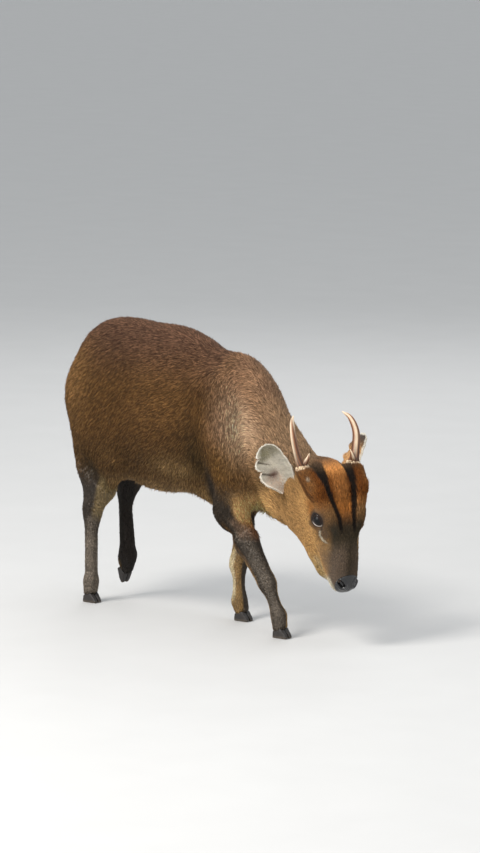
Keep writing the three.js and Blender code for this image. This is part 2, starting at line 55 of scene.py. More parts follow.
# The head's own frame: x to the nose, y to its left, z up out of the forehead
HEAD = (
    Matrix.Translation(Vector((0.297, -0.024, 0.193)))
    @ Matrix.Rotation(math.radians(-13), 4, "Z")
    @ Matrix.Rotation(math.radians(75), 4, "Y")
)
HEAD_INVERSE = HEAD.inverted()

EYE_RADIUS = 12.3
EYE_SLIT = 9.4
UPPER_LID = 6.9
LOWER_LID = 6.6
RIGHT, LEFT = -1, 1
SIDES = {"right": RIGHT, "left": LEFT}

# Places on the head's left side, in its own frame in millimetres
EYE_CENTRE = np.array([-6.5, 32.5, -21.0])
LIDS_CENTRE = np.array([-6.0, 34.0, -21.0])
NOSTRIL_LINE = np.array([[88.5, 13.2, -24.0], [91.5, 12.2, -22.2], [95.5, 9.8, -22.0]])

# The nose pad's outline is where this ball, drawn out along the three directions, meets the skin
PAD_CENTRE = np.array([100.0, 0.0, -23.5])
PAD_REACH = np.array([22.0, 21.5, 15.5])

Colour = tuple[int, int, int]
Triple = tuple[float, float, float]


def linear(colour: Colour) -> np.ndarray:
    """Turns a colour as it looks on a screen into light.

    Args:
        colour: Red, green and blue, 0 to 255.

    Returns:
        The three linear values.
    """
    parts = [c / 255 for c in colour]
    return np.array([p / 12.92 if p <= 0.04045 else ((p + 0.055) / 1.055) ** 2.4 for p in parts])


def plain(colour: Colour, count: int) -> np.ndarray:
    """Returns one screen colour as count rows of linear values."""
    return np.tile(linear(colour), (count, 1))


def tinted(base: np.ndarray, colour: Colour, mask: np.ndarray) -> np.ndarray:
    """Lays a screen colour over linear colours, as far as a mask from 0 to 1 says."""
    return base + mask[:, None] * (linear(colour) - base)


def ramp(values: np.ndarray, low: float, high: float) -> np.ndarray:
    """Rises smoothly from 0 at low to 1 at high, and falls where low is the larger.

    Args:
        values: Where to read the ramp.
        low: The value with 0.
        high: The value with 1.

    Returns:
        The ramp at each value.
    """
    t = np.clip((values - low) / (high - low), 0, 1)
    return t * t * (3 - 2 * t)


def unit(vectors: np.ndarray) -> np.ndarray:
    """Returns rows of vectors with length 1."""
    return vectors / np.maximum(np.linalg.norm(vectors, axis=-1, keepdims=True), 1e-12)


def carried(points: np.ndarray, matrix: Matrix) -> np.ndarray:
    """Takes points through a matrix."""
    m = np.array(matrix)
    return points @ m[:3, :3].T + m[:3, 3]


def to_head(points: np.ndarray) -> np.ndarray:
    """Turns points in metres into millimetres in the head's own frame."""
    return carried(points, HEAD_INVERSE) / MM


def from_head(points: np.ndarray) -> np.ndarray:
    """Turns millimetres in the head's own frame into points in metres."""
    return carried(np.asarray(points, float) * MM, HEAD)


def on_left(points: np.ndarray) -> np.ndarray:
    """Mirrors points in the head's frame onto its left side."""
    return np.stack([points[:, 0], np.abs(points[:, 1]), points[:, 2]], axis=1)


def to_body(points: np.ndarray) -> np.ndarray:
    """Turns points in metres into the body's own millimetres."""
    return points / MM + MIDDLE


def along_line(points: np.ndarray, line: np.ndarray) -> tuple[np.ndarray, np.ndarray]:
    """Measures points against a chain of straight lines.

    Args:
        points: The points, one a row.
        line: The chain's corners, one a row.

    Returns:
        The distance of each point from the chain, and how far along it the nearest place is, 0 to 1.
    """
    best = np.full(len(points), np.inf)
    where = np.zeros(len(points))
    line = np.asarray(line, float)
    for i, (a, b) in enumerate(zip(line[:-1], line[1:])):
        way = b - a
        t = np.clip((points - a) @ way / (way @ way), 0, 1)
        distance = np.linalg.norm(points - a - t[:, None] * way, axis=1)
        nearer = distance < best
        best[nearer] = distance[nearer]
        where[nearer] = (i + t[nearer]) / (len(line) - 1)
    return best, where


def read(
    items: bpy.types.bpy_prop_collection, name: str, width: int, kind: type = np.float32
) -> np.ndarray:
    """Reads a value of every item of a mesh.

    Args:
        items: The items, such as its vertices.
        name: The value's name.
        width: How many numbers it has.
        kind: Their type.

    Returns:
        The values, one a row.
    """
    out = np.zeros(len(items) * width, kind)
    items.foreach_get(name, out)
    return out.reshape(-1, width)


def positions(mesh: bpy.types.Mesh) -> np.ndarray:
    """Returns a mesh's points, one a row."""
    return read(mesh.vertices, "co", 3).astype(float)


def point_normals(mesh: bpy.types.Mesh) -> np.ndarray:
    """Returns the outward direction at each point of a mesh."""
    return read(mesh.vertices, "normal", 3).astype(float)


def edge_ends(mesh: bpy.types.Mesh) -> np.ndarray:
    """Returns the two point numbers of each edge of a mesh."""
    return read(mesh.edges, "vertices", 2, np.int32)


def place(mesh: bpy.types.Mesh, points: np.ndarray) -> None:
    """Puts a mesh's points in new places."""
    mesh.vertices.foreach_set("co", points.astype(np.float32).ravel())
    mesh.update()


def evened(values: np.ndarray, edges: np.ndarray, share: float) -> np.ndarray:
    """Moves each value part of the way to the mean of its neighbours.

    Args:
        values: One row of values for each point.
        edges: The point numbers of each edge.
        share: How far each moves, 0 to 1, or below 0 to sharpen.

    Returns:
        The new values.
    """
    count = len(values)
    ends = np.concatenate([edges, edges[:, ::-1]])
    degree = np.maximum(np.bincount(ends[:, 0], minlength=count), 1)
    means = np.stack(
        [np.bincount(ends[:, 0], v[ends[:, 1]], count) / degree for v in values.T], axis=1
    )
    return values + share * (means - values)


def paint(mesh: bpy.types.Mesh, colours: np.ndarray) -> None:
    """Stores the painted colour of each point of a mesh.

    Args:
        mesh: The mesh.
        colours: Red, green and blue in a row for each point.
    """
    layer = mesh.color_attributes.new(PAINT, "FLOAT_COLOR", "POINT")
    rgba = np.ones((len(colours), 4), np.float32)
    rgba[:, :3] = np.clip(colours, 0, 1)
    layer.data.foreach_set("color", rgba.ravel())


def as_object(name: str, mesh: bpy.types.Mesh) -> bpy.types.Object:
    """Puts a mesh in the scene as an object at the origin.

    Args:
        name: The object's name.
        mesh: Its mesh.

    Returns:
        The new object.
    """
    obj = bpy.data.objects.new(name, mesh)
    bpy.context.scene.collection.objects.link(obj)
    return obj


def from_bmesh(name: str, bm: bmesh.types.BMesh) -> bpy.types.Object:
    """Ends a bmesh and puts it in the scene.

    Args:
        name: The object's name.
        bm: The finished shape, which is freed.

    Returns:
        The new object.
    """
    mesh = bpy.data.meshes.new(name)
    bm.to_mesh(mesh)
    bm.free()
    mesh.shade_smooth()
    return as_object(name, mesh)


def pour(part: bmesh.types.BMesh, whole: bmesh.types.BMesh) -> None:
    """Adds one bmesh to another and frees it.

    Args:
        part: The shape to add.
        whole: The bmesh that takes it up.
    """
    mesh = bpy.data.meshes.new("part")
    part.to_mesh(mesh)
    part.free()
    whole.from_mesh(mesh)
    bpy.data.meshes.remove(mesh)


def tree_of(mesh: bpy.types.Mesh) -> BVHTree:
    """Builds a search tree over a mesh."""
    return BVHTree.FromPolygons(positions(mesh).tolist(), [tuple(p.vertices) for p in mesh.polygons])


def apply_modifiers(obj: bpy.types.Object) -> None:
    """Makes an object's modifiers part of its mesh.

    Args:
        obj: The object.
    """
    graph = bpy.context.evaluated_depsgraph_get()
    old = obj.data
    obj.data = bpy.data.meshes.new_from_object(obj.evaluated_get(graph))
    obj.modifiers.clear()
    bpy.data.meshes.remove(old)


class Slot(Enum):
    """The material slots of the pieces."""

    BODY = "body_fur"
    NECK = "neck_fur"
    FACE = "face_fur"
    LEG = "leg_fur"
    EAR = "ear_skin"
    ANTLER = "antler"
    HOOF = "hoof"
    NOSE = "nose"
    EYE = "eye"


def settle(
    obj: bpy.types.Object, material: bpy.types.Material, slot: Slot, *nodes: str
) -> bpy.types.Object:
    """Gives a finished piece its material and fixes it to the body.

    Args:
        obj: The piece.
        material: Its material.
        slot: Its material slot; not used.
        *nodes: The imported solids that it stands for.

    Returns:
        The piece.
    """
    obj.data.materials.append(material)
    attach(obj, "root")
    if nodes:
        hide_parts(*nodes)
    LOG.info("%s: %d faces", obj.name, len(obj.data.polygons))
    return obj


# Finishes


class ShaderGroup:
    """A group of shader nodes with named inputs and outputs, built once."""

    def __init__(self, name: str, numbers: dict[str, float], outputs: dict[str, str]) -> None:
        """Makes the group's sockets.

        Args:
            name: The group's name.
            numbers: Its number inputs, with their first values.
            outputs: Its outputs, each with its kind of socket.
        """
        self.tree = bpy.data.node_groups.new(name, "ShaderNodeTree")
        colour = self.tree.interface.new_socket("Color", in_out="INPUT", socket_type="NodeSocketColor")
        colour.default_value = (1, 1, 1, 1)
        for label, value in numbers.items():
            socket = self.tree.interface.new_socket(label, in_out="INPUT", socket_type="NodeSocketFloat")
            socket.default_value = value
        for label, kind in outputs.items():
            self.tree.interface.new_socket(label, in_out="OUTPUT", socket_type=kind)
        self.inputs = self.tree.nodes.new("NodeGroupInput")
        self.outputs = self.tree.nodes.new("NodeGroupOutput")

    def node(self, kind: str, **settings: object) -> bpy.types.Node:
        """Adds a node and sets its options.

        Args:
            kind: The node's type.
            **settings: Its options, by name.

        Returns:
            The node.
        """
        made = self.tree.nodes.new(kind)
        for key, value in settings.items():
            setattr(made, key, value)
        return made

    def maths(self, operation: str, *inputs: bpy.types.NodeSocket | float) -> bpy.types.NodeSocket:
        """Adds a sum.

        Args:
            operation: What it works out.
            *inputs: The sockets or numbers that it works with.

        Returns:
            Its result.
        """
        node = self.node("ShaderNodeMath", operation=operation)
        for socket, value in zip(node.inputs, inputs):
            if isinstance(value, float):
                socket.default_value = value
            else:
                self.link(value, socket)
        return node.outputs[0]

    def link(self, source: bpy.types.NodeSocket, target: bpy.types.NodeSocket) -> None:
        """Joins two sockets."""
        self.tree.links.new(source, target)


def grain_group() -> bpy.types.NodeTree:
    """Builds the group that breaks a colour up with fine grain and soft clouds.

    Returns:
        The group's tree.
    """
    group = ShaderGroup(
        "grain",
        {"Fine": 600.0, "Cloud": 18.0, "Grain amount": 0.35, "Cloud amount": 0.25},
        {"Color": "NodeSocketColor", "Height": "NodeSocketFloat"},
    )
    given = group.inputs.outputs
    spot = group.node("ShaderNodeTexCoord").outputs["Object"]
    noises = []
    for scale, amount, detail in (("Fine", "Grain amount", 3), ("Cloud", "Cloud amount", 2)):
        noise = group.node("ShaderNodeTexNoise")
        noise.inputs["Detail"].default_value = detail
        group.link(spot, noise.inputs["Vector"])
        group.link(given[scale], noise.inputs["Scale"])
        centred = group.maths("SUBTRACT", noise.outputs["Fac"], 0.5)
        noises.append((noise, group.maths("MULTIPLY", centred, given[amount])))
    total = group.maths("ADD", noises[0][1], noises[1][1])
    shade = group.node("ShaderNodeVectorMath", operation="SCALE")
    group.link(given["Color"], shade.inputs[0])
    group.link(group.maths("MULTIPLY_ADD", total, 2.0, 1.0), shade.inputs["Scale"])
    group.link(shade.outputs[0], group.outputs.inputs["Color"])
    group.link(noises[0][0].outputs["Fac"], group.outputs.inputs["Height"])
    return group.tree


@dataclass(frozen=True)
class Finish:
    """A surface: painted colours broken up by grain, with its gloss and relief."""

    name: str
    roughness: float = 0.7
    specular: float = 0.35
    sheen: float = 0.0
    sheen_roughness: float = 0.4
    coat: float = 0.0
    coat_roughness: float = 0.06
    fine: float = 600.0
    cloud: float = 18.0
    grain: float = 0.3
    clouding: float = 0.2
    bump: float = 0.0
    bump_depth: float = 0.0004

    def make(self, grain: bpy.types.NodeTree) -> bpy.types.Material:
        """Builds the material.

        Args:
            grain: The shared grain group.

        Returns:
            The material.
        """
        material = bpy.data.materials.new(self.name)
        material.use_nodes = True
        tree = material.node_tree
        shader = tree.nodes["Principled BSDF"]
        surface = {
            "Roughness": self.roughness,
            "Specular IOR Level": self.specular,
            "Sheen Weight": self.sheen,
            "Sheen Roughness": self.sheen_roughness,
            "Coat Weight": self.coat,
            "Coat Roughness": self.coat_roughness,
        }
        for socket, value in surface.items():
            shader.inputs[socket].default_value = value
        painted = tree.nodes.new("ShaderNodeAttribute")
        painted.attribute_name = PAINT
        shade = tree.nodes.new("ShaderNodeGroup")
        shade.node_tree = grain
        shade.inputs["Fine"].default_value = self.fine
        shade.inputs["Cloud"].default_value = self.cloud
        shade.inputs["Grain amount"].default_value = self.grain
        shade.inputs["Cloud amount"].default_value = self.clouding
        tree.links.new(painted.outputs["Color"], shade.inputs["Color"])
        tree.links.new(shade.outputs["Color"], shader.inputs["Base Color"])
        if self.bump:
            relief = tree.nodes.new("ShaderNodeBump")
            relief.inputs["Strength"].default_value = self.bump
            relief.inputs["Distance"].default_value = self.bump_depth
            tree.links.new(shade.outputs["Height"], relief.inputs["Height"])
            tree.links.new(relief.outputs["Normal"], shader.inputs["Normal"])
        return material


FINISHES = {
    "skin": Finish("under_coat", roughness=0.85, fine=900, grain=0.3, bump=0.6),
    "fur": Finish("hair", roughness=0.72, specular=0.16, fine=330, grain=0.25, clouding=0.3),
    "sleek": Finish("sleek_hair", roughness=0.42, specular=0.5, fine=260, grain=0.4, cloud=40, clouding=0.5),
    "ear": Finish("ear_skin", roughness=0.6, fine=700, grain=0.18, clouding=0.3, bump=0.35),
    "down": Finish("ear_down", roughness=0.7, fine=500, grain=0.1, sheen=0.1),
    "antler": Finish("antler", roughness=0.42, specular=0.5, fine=420, cloud=60, grain=0.22, bump=0.35),
    "hoof": Finish("horn", roughness=0.42, specular=0.5, fine=500, grain=0.3, bump=0.4),
    "nose": Finish(
        "wet_nose",
        roughness=0.24,
        specular=0.55,
        coat=0.3,
        fine=900,
        grain=0.25,
        bump=0.35,
        bump_depth=0.0003,
    ),
    "lid": Finish("bare_skin", roughness=0.6, specular=0.2, fine=900, grain=0.2, bump=0.3),
    "eye": Finish("eye", roughness=0.05, specular=0.24, grain=0.0, clouding=0.0),
}


# Markings


@dataclass(frozen=True)
class Palette:
    """The coat's colours, as they look on a screen, with a painted shade and a painted highlight among them.
    """

    flank: Colour = (116, 83, 47)
    back: Colour = (98, 71, 57)
    rump: Colour = (143, 106, 64)
    haunch: Colour = (94, 72, 44)
    belly: Colour = (160, 128, 84)
    # Painted shade, laid in the crease behind the elbow, the fold in front of the thigh and under the ear
    armpit: Colour = (64, 51, 28)
    shoulder: Colour = (155, 120, 92)
    arm: Colour = (126, 90, 46)
    # Painted highlight across the shoulder and the base of the neck
    mantle: Colour = (206, 174, 142)
    neck: Colour = (138, 111, 84)
    breast: Colour = (234, 184, 120)
    leg: Colour = (62, 52, 42)
    # Painted sheen on the lower legs
    cannon: Colour = (130, 118, 104)
    tan: Colour = (172, 136, 82)
    shin: Colour = (222, 200, 162)
    thigh: Colour = (142, 122, 84)
    cheek: Colour = (172, 133, 83)
    crown: Colour = (208, 144, 80)
    forehead: Colour = (148, 86, 26)
    pedicle: Colour = (101, 55, 13)
    stripe: Colour = (20, 13, 7)
    brow: Colour = (122, 92, 58)
    muzzle: Colour = (52, 47, 36)
    snout: Colour = (111, 94, 79)
    jaw: Colour = (136, 116, 78)
    chin: Colour = (206, 198, 176)
    socket: Colour = (48, 34, 26)
    tail_under: Colour = (232, 226, 212)
    tail_top: Colour = (140, 86, 40)


# Lines of the face, in the head's frame in millimetres, on its left side
STRIPE_LINE = np.array(
    [[-84, 25, -26], [-60, 24, -10], [-40, 23, -5], [-21, 18, -2]]
    + [[-4, 13.5, -1], [10, 12, -1], [24, 10.5, -2]]
)
GLAND_SLIT = np.array([[11, 37, -15], [17, 36, -20], [24, 32, -21], [30, 28, -19]])
GLAND_RIM = np.array([[13, 37, -20], [19, 35, -25], [26, 31, -25], [32, 27, -21]])
MOUTH_LINE = np.array(
    [[50, 22, -61], [62, 21, -54], [74, 19.5, -47], [85, 17, -42], [94, 11, -40], [98, 0, -40]]
)
BAG_LINE = np.array([[-2, 41, -36], [5, 38, -29], [10, 35, -24]])
TEAR_LINE = np.array([[3, 38, -12], [9, 38, -14], [14, 37, -17]])
# Along this line lies a painted shadow on the outer side of the pedicle
PEDICLE_SHADOW_LINE = np.array([[-74, 56, -31], [-53, 54, -21], [-40, 51, -15], [-30, 47, -12]])
BRIDGE = np.array([[-30, 0, -3], [0, 0, -1], [40, 0, -4], [90, 0, -16]])
HEAD_CHAIN = np.array([[-78, 0, -66], [40, 0, -36], [100, 0, -30]])


class Wash:
    """Colours laid one over another on the same points."""

    def __init__(self, colours: dict[str, np.ndarray], first: str, count: int) -> None:
        """Begins with one colour.

        Args:
            colours: The linear colours, by name.
            first: The name of the one to begin with.
            count: How many points there are.
        """
        self.colours = colours
        self.now = np.tile(colours[first], (count, 1))

    def lay(self, name: str, mask: np.ndarray) -> None:
        """Lays a colour over the others, as far as a mask from 0 to 1 says."""
        self.now += mask[:, None] * (self.colours[name] - self.now)


class Markings:
    """The colours of the coat at any place, painted shade and highlight among them, shared by the skin and
    every tuft.
    """

    def __init__(self, palette: Palette) -> None:
        """Turns the palette into light."""
        self.colours = {name: linear(colour) for name, colour in asdict(palette).items()}

    def at(self, points: np.ndarray) -> np.ndarray:
        """Gives the coat's colour at each point.

        Args:
            points: Places in metres, one a row.

        Returns:
            The linear colour of each.
        """
        body = self.trunk(to_body(points))
        local = to_head(points)
        face = self.face(local)
        far, _ = along_line(local, HEAD_CHAIN)
        nearness = ramp(local[:, 0] + 0.25 * (local[:, 2] + 60), -92, -56) * ramp(far, 95, 66)
        return body + nearness[:, None] * (face - body)

    def trunk(self, p: np.ndarray) -> np.ndarray:
        """Colours the body, neck, legs and tail, from the body's own millimetres.

        Args:
            p: Places in millimetres, one a row.

        Returns:
            The linear colour of each.
        """
        x, y, z = p.T
        side = np.abs(y)
        wash = Wash(self.colours, "flank", len(p))
        top = 446 - 0.0012 * np.maximum(np.abs(x + 90) - 60, 0) ** 2
        height = (z - 187) / np.maximum(top - 187, 60)
        wash.lay("back", 0.85 * ramp(height, 0.62, 0.95))
        gold = np.exp(-(((x + 196) / 42) ** 2 + ((z - 352) / 62) ** 2)) * ramp(side, 20, 50)
        wash.lay("rump", gold)
        low_haunch = np.exp(-(((x + 185) / 60) ** 2 + ((z - 236) / 44) ** 2)) * ramp(side, 18, 45)
        wash.lay("haunch", 0.6 * low_haunch)
        wash.lay("haunch", 0.5 * ramp(height, 0.42, 0.2) * ramp(x, -160, -110))
        under = ramp(z, 226, 196) * ramp(x, -150, -110) * ramp(x, 150, 90)
        wash.lay("belly", 0.85 * under)
        streak = np.exp(-(((x - 18) / 40) ** 2 + ((z - 238) / 18) ** 2))
        wash.lay("belly", 0.8 * streak)
        # Painted shade in the crease behind the elbow
        armpit = np.exp(-(((x - 62) / 26) ** 2 + ((z - 262 + 0.4 * (x - 62)) / 44) ** 2))
        wash.lay("armpit", 0.75 * armpit * ramp(side, 30, 52))
        arm = ramp(x, 84, 124) * ramp(z, 205, 245)
        wash.lay("arm", 0.9 * arm)
        shoulder = ramp(x, 76, 126) * ramp(z, 262, 320)
        wash.lay("shoulder", 0.9 * shoulder)
        wash.lay("neck", ramp(x + 0.35 * (z - 300), 150, 215))
        # Painted highlight: a pale band across the shoulder and the base of the neck
        mantle = np.exp(-(((x - 158) / 34) ** 2 + ((z - 318 + 0.5 * (x - 158)) / 52) ** 2))
        wash.lay("mantle", 0.85 * mantle * ramp(side, 26, 48))
        crest = ramp(x, 140, 175) * ramp(z - 292 + 0.75 * (x - 215), 18, 42) * ramp(side, 44, 26)
        wash.lay("back", 0.85 * crest)
        # Painted shade in the flank fold at the front of the thigh
        fold_shade = np.exp(-(((x + 167) / 24) ** 2 + ((z - 211) / 24) ** 2)) * ramp(side, 22, 44)
        wash.lay("armpit", 0.88 * fold_shade)
        withers = ramp(x, 60, 110) * ramp(z + 0.55 * (x - 112), 392, 420)
        wash.lay("back", 0.6 * withers)
        breast = ramp(x, 124, 150) * ramp(z - 0.3 * (x - 160), 226, 196)
        wash.lay("breast", 0.9 * breast)
        # Painted shadow of the ear on the throat below it
        shade = np.exp(-(((x - 202) / 19) ** 2 + ((z - 224) / 19) ** 2)) * ramp(side, 18, 32)
        wash.lay("armpit", 0.6 * shade)
        self.legs(wash, p)
        self.tail(wash, p)
        return wash.now

    def legs(self, wash: Wash, p: np.ndarray) -> None:
        """Darkens the legs, with tan behind, cream inside the thighs, a painted sheen and painted shade.

        Args:
            wash: The colours so far.
            p: Places in millimetres, one a row.
        """
        x, y, z = p.T
        fore, hind = x > -40, x <= -40
        right = y < 0
        axis_x = np.where(
            right,
            np.interp(z, [33, 81, 184, 260], [211, 192, 130, 118]),
            np.interp(z, [30, 84, 188, 260], [71, 61, 82, 92]),
        )
        axis_y = np.where(
            right,
            np.interp(z, [33, 81, 184], [-30, -36, -50]),
            np.interp(z, [30, 84, 188], [27, 34, 50]),
        )
        arm_height = np.where(right, 213, 198)
        slant = 0.3 * np.maximum(x - axis_x, 0) - 1.1 * np.clip(axis_x - 4 - x, 0, 30)
        slant += 2.2 * np.maximum(axis_x - 40 - x, 0)
        dark = fore * ramp(z + slant, arm_height + 22, arm_height - 20)
        dark = dark * (1 - ramp(x - axis_x, 14, 25) * ramp(z, 160, 174))
        hind_axis = np.interp(z, [34, 148, 200, 260], [-194, -187, -162, -130])
        behind_thigh = ramp(x - hind_axis, 24, 6)
        dark = np.maximum(dark, hind * ramp(z, 236, 186) * np.maximum(behind_thigh, ramp(z, 162, 146)))
        wash.lay("leg", dark)
        # Painted sheen: the lighter grey of the cannons, strongest on the right hind leg
        shin = ramp(z, 150, 84)
        wash.lay("cannon", shin * dark * (0.75 * hind * right + 0.2 * fore))
        inner = np.where(right, y - axis_y, axis_y - y)
        behind = axis_x - x
        around = np.maximum(np.hypot(inner, behind), 1)
        lean = (0.55 * inner + 0.85 * behind) / around
        low = ramp(z, 172, 150)
        tan_left = ramp(lean, 0.2, 0.85) * ~right
        tan_right = 0.9 * ramp(lean, 0.0, 0.25) * ramp(z, 128, 100) * right
        front_edge = 0.85 * ramp((0.8 * inner - 0.5 * behind) / around, 0.66, 0.84) * ramp(z, 118, 96)
        tan_mask = fore * dark * low * np.maximum(np.maximum(tan_left, tan_right), front_edge)
        wash.lay("tan", 0.9 * tan_mask)
        pale_left = fore * ~right * ramp(lean, 0.2, 0.65) * ramp(z, 128, 84) * ramp(z, 24, 44)
        wash.lay("shin", 0.85 * pale_left)
        front = ramp(x - hind_axis, 6, 17)
        thigh = hind * right * front * ramp(z, 126, 146) * ramp(z, 222, 196) * ramp(x, -126, -138)
        wash.lay("thigh", 0.85 * thigh)
        far_thigh = hind * ~right * front * ramp(y, 40, 30) * ramp(z, 164, 180) * ramp(z, 226, 206)
        wash.lay("thigh", 0.3 * far_thigh)
        reddish = fore * right * ramp(x - axis_x, 2, 10) * ramp(z, 142, 156) * ramp(z, 180, 168)
        wash.lay("tail_top", 0.5 * reddish)
        hind_inner = np.where(right, y + 38, 38 - y)
        hind_behind = hind_axis - x
        outward = -0.7 * (inner + behind) / around
        outward_hind = -0.7 * (hind_inner + hind_behind) / np.maximum(np.hypot(hind_inner, hind_behind), 1)
        # Painted sheen down the outer face of the right legs, in the cannons' lighter grey
        sheen = np.where(
            fore,
            ramp(outward, 0.6, 0.97) * ramp(z, 182, 168),
            ramp(outward_hind, 0.5, 0.97) * ramp(z, 150, 132),
        )
        wash.lay("cannon", 0.5 * sheen * dark * right)
        brown = fore * right * ramp(np.abs(outward - 0.2), 0.35, 0.1) * ramp(behind, 0, 4)
        brown *= ramp(z, 176, 160) * ramp(z, 84, 100)
        wash.lay("arm", 0.4 * brown)
        # Painted shade: the inner side of the left hind leg laid near-black
        inside = hind * (y > 0) * ramp(y, 54, 44) * dark
        wash.lay("stripe", 0.75 * inside)
        heel = np.linalg.norm((p - [-196, 24, 52]) * [1, 1, 0.8], axis=1)
        wash.lay("tan", 0.5 * ramp(heel, 12, 4))

    def tail(self, wash: Wash, p: np.ndarray) -> None:
        """Gives the tail its rufous top and white edge.

        Args:
            wash: The colours so far.
            p: Places in millimetres, one a row.
        """
        x, y, z = p.T
        on_tail = ramp(x, -231, -237) * ramp(np.abs(y), 26, 20) * ramp(z, 246, 256) * ramp(z, 392, 378)
        wash.lay("tail_top", on_tail)
        edge = on_tail * np.maximum(ramp(np.abs(y), 12, 17), ramp(z, 268, 256))
        wash.lay("tail_under", edge)

    def face(self, p: np.ndarray) -> np.ndarray:
        """Colours the head, from millimetres in its own frame.

        Args:
            p: Places in millimetres, one a row.

        Returns:
            The linear colour of each.
        """
        x, y, z = p.T
        side = np.abs(y)
        mirrored = on_left(p)
        wash = Wash(self.colours, "cheek", len(p))
        wash.lay("jaw", 0.8 * ramp(x, 30, 62) * ramp(z, -38, -52))
        # Painted shade, darker toward the underside of the jaw
        wash.lay("brow", 0.45 * ramp(z + 0.35 * x, -52, -80))
        upper = ramp(z + 0.12 * (x + 40) - 0.5 * np.maximum(x + 16, 0), -40, -24) * ramp(x, 34, 8)
        wash.lay("forehead", 0.85 * upper * ramp(side, 48, 40))
        below = z - np.interp(x, [-84, -74, -53, -40, -30], [-36, -31, -21, -15, -12])
        pedicle = ramp(x, -16, -34) * ramp(below, -12, -2)
        wash.lay("pedicle", 0.85 * pedicle)
        between = ramp(x, -18, -40) * ramp(side, 40, 34) * (1 - 0.35 * ramp(side, 12, 4))
        wash.lay("pedicle", 0.8 * between)
        wash.lay("crown", 0.3 * ramp(side, 16, 8) * ramp(x, -8, -36) * ramp(z, -30, -16))
        crown = ramp(x, -56, -78) * ramp(side, 27, 16)
        wash.lay("crown", crown)
        bridge = np.interp(x, BRIDGE[:, 0], BRIDGE[:, 2])
        spread = np.interp(x, [20, 70, 90], [0, 3, 9])
        top = ramp(bridge - z - spread, 20, 9)
        brow = ramp(x, -34, -8) * ramp(side, 13, 20) * ramp(z, -30, -16) * ramp(x, 36, 20)
        wash.lay("brow", 0.85 * brow)
        dark_snout = top * ramp(x - 0.9 * side, -40, -8) * ramp(x, -16, 16)
        wash.lay("muzzle", 0.95 * dark_snout)
        # Paler flanks of the bridge, held back on the head's left side as painted shade
        flank_of_bridge = ramp(side, -1, 11) * np.where(y > 0, 0.55, 1.0)
        wash.lay("snout", 0.85 * top * ramp(x, 28, 58) * flank_of_bridge)
        side_snout = ramp(x, 22, 58) * ramp(z, -50, -28) * (1 - 0.6 * top)
        wash.lay("snout", 0.7 * side_snout)
        eye = np.linalg.norm(mirrored - EYE_CENTRE, axis=1)
        near_eye = ramp(mirrored[:, 1], 28, 34)
        wash.lay("socket", 0.65 * ramp(eye, 18, 14.5) * near_eye)
        bag, _ = along_line(mirrored, BAG_LINE)
        wash.lay("socket", 0.6 * ramp(bag, 5.5, 2.2))
        tear, _ = along_line(mirrored, TEAR_LINE)
        wash.lay("socket", 0.9 * ramp(tear, 4.5, 2.4))
        pouch = np.linalg.norm((mirrored - np.array([19, 33, -19])) * [0.8, 1, 1], axis=1)
        wash.lay("brow", 0.8 * ramp(pouch, 17, 7))
        wash.lay("snout", 0.45 * ramp(pouch, 12, 6))
        gland, _ = along_line(mirrored, GLAND_SLIT)
        wash.lay("socket", 0.8 * ramp(gland, 2.6, 1.2))
        rim, _ = along_line(mirrored, GLAND_RIM)
        wash.lay("chin", 0.65 * ramp(rim, 2.3, 0.9))
        stripe, where = along_line(mirrored, STRIPE_LINE)
        width = np.interp(where, [0, 0.15, 0.3, 0.6, 0.85, 1], [10.5, 8.0, 5.4, 4.2, 3.2, 3.0])
        wash.lay("stripe", 0.98 * ramp(stripe, width + 1.6, width - 1.6) * ramp(where, 1.0, 0.9))
        foot = np.linalg.norm(mirrored - np.array([-80, 34, -22]), axis=1)
        wash.lay("stripe", 0.6 * ramp(foot, 16, 8))
        # Painted shadow along the outer side of the pedicle
        edge, _ = along_line(mirrored, PEDICLE_SHADOW_LINE)
        wash.lay("stripe", 0.45 * ramp(edge, 5.5, 2))
        spot = np.linalg.norm(p - np.array([-62, -50, -12]), axis=1)
        wash.lay("chin", 0.4 * ramp(spot, 4.2, 2.0))
        mouth, _ = along_line(mirrored, MOUTH_LINE)
        lips = ramp(x, 74, 88) * ramp(z, -30, -36)
        wash.lay("chin", 0.8 * lips)
        wash.lay("chin", 0.1 * ramp(mouth, 6, 3) * ramp(z, -42, -50))
        wash.lay("muzzle", 0.6 * ramp(mouth, 1.6, 0.6) * ramp(x, 50, 66))
        return wash.now


# The skin


HIND = tuple(f"hind_{side}_{part}" for side in SIDES for part in ("shank", "cannon"))
FORE = tuple(f"fore_{side}_{part}" for side in SIDES for part in ("forearm", "cannon"))
FLESH = ["hindquarters", "barrel", "shoulders", "neck", "tail", "head", *HIND, *FORE]


class Region(Enum):
    """The parts of the coat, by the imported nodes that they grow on."""

    RUMP = ("hindquarters",)
    FLANK = ("barrel",)
    SHOULDER = ("shoulders",)
    NECK = ("neck",)
    FACE = ("head",)
    TAIL = ("tail",)
    HIND_LEGS = HIND
    FORE_LEGS = FORE


@dataclass(frozen=True)
class Stroke:
    """A groove or ridge pressed into the skin along a line in the head's frame."""

    line: np.ndarray
    radius: float
    depth: float


@dataclass(frozen=True)
class Push:
    """A soft push on the skin, in the body's millimetres."""

    centre: Triple
    reach: Triple
    move: Triple


PUSHES = (
    Push((100, 68, 186), (40, 24, 40), (0, -10, 0)),
    Push((96, 62, 150), (34, 26, 34), (-6, -14, 0)),
    Push((104, -52, 156), (18, 28, 30), (-8, -1, 0)),
)


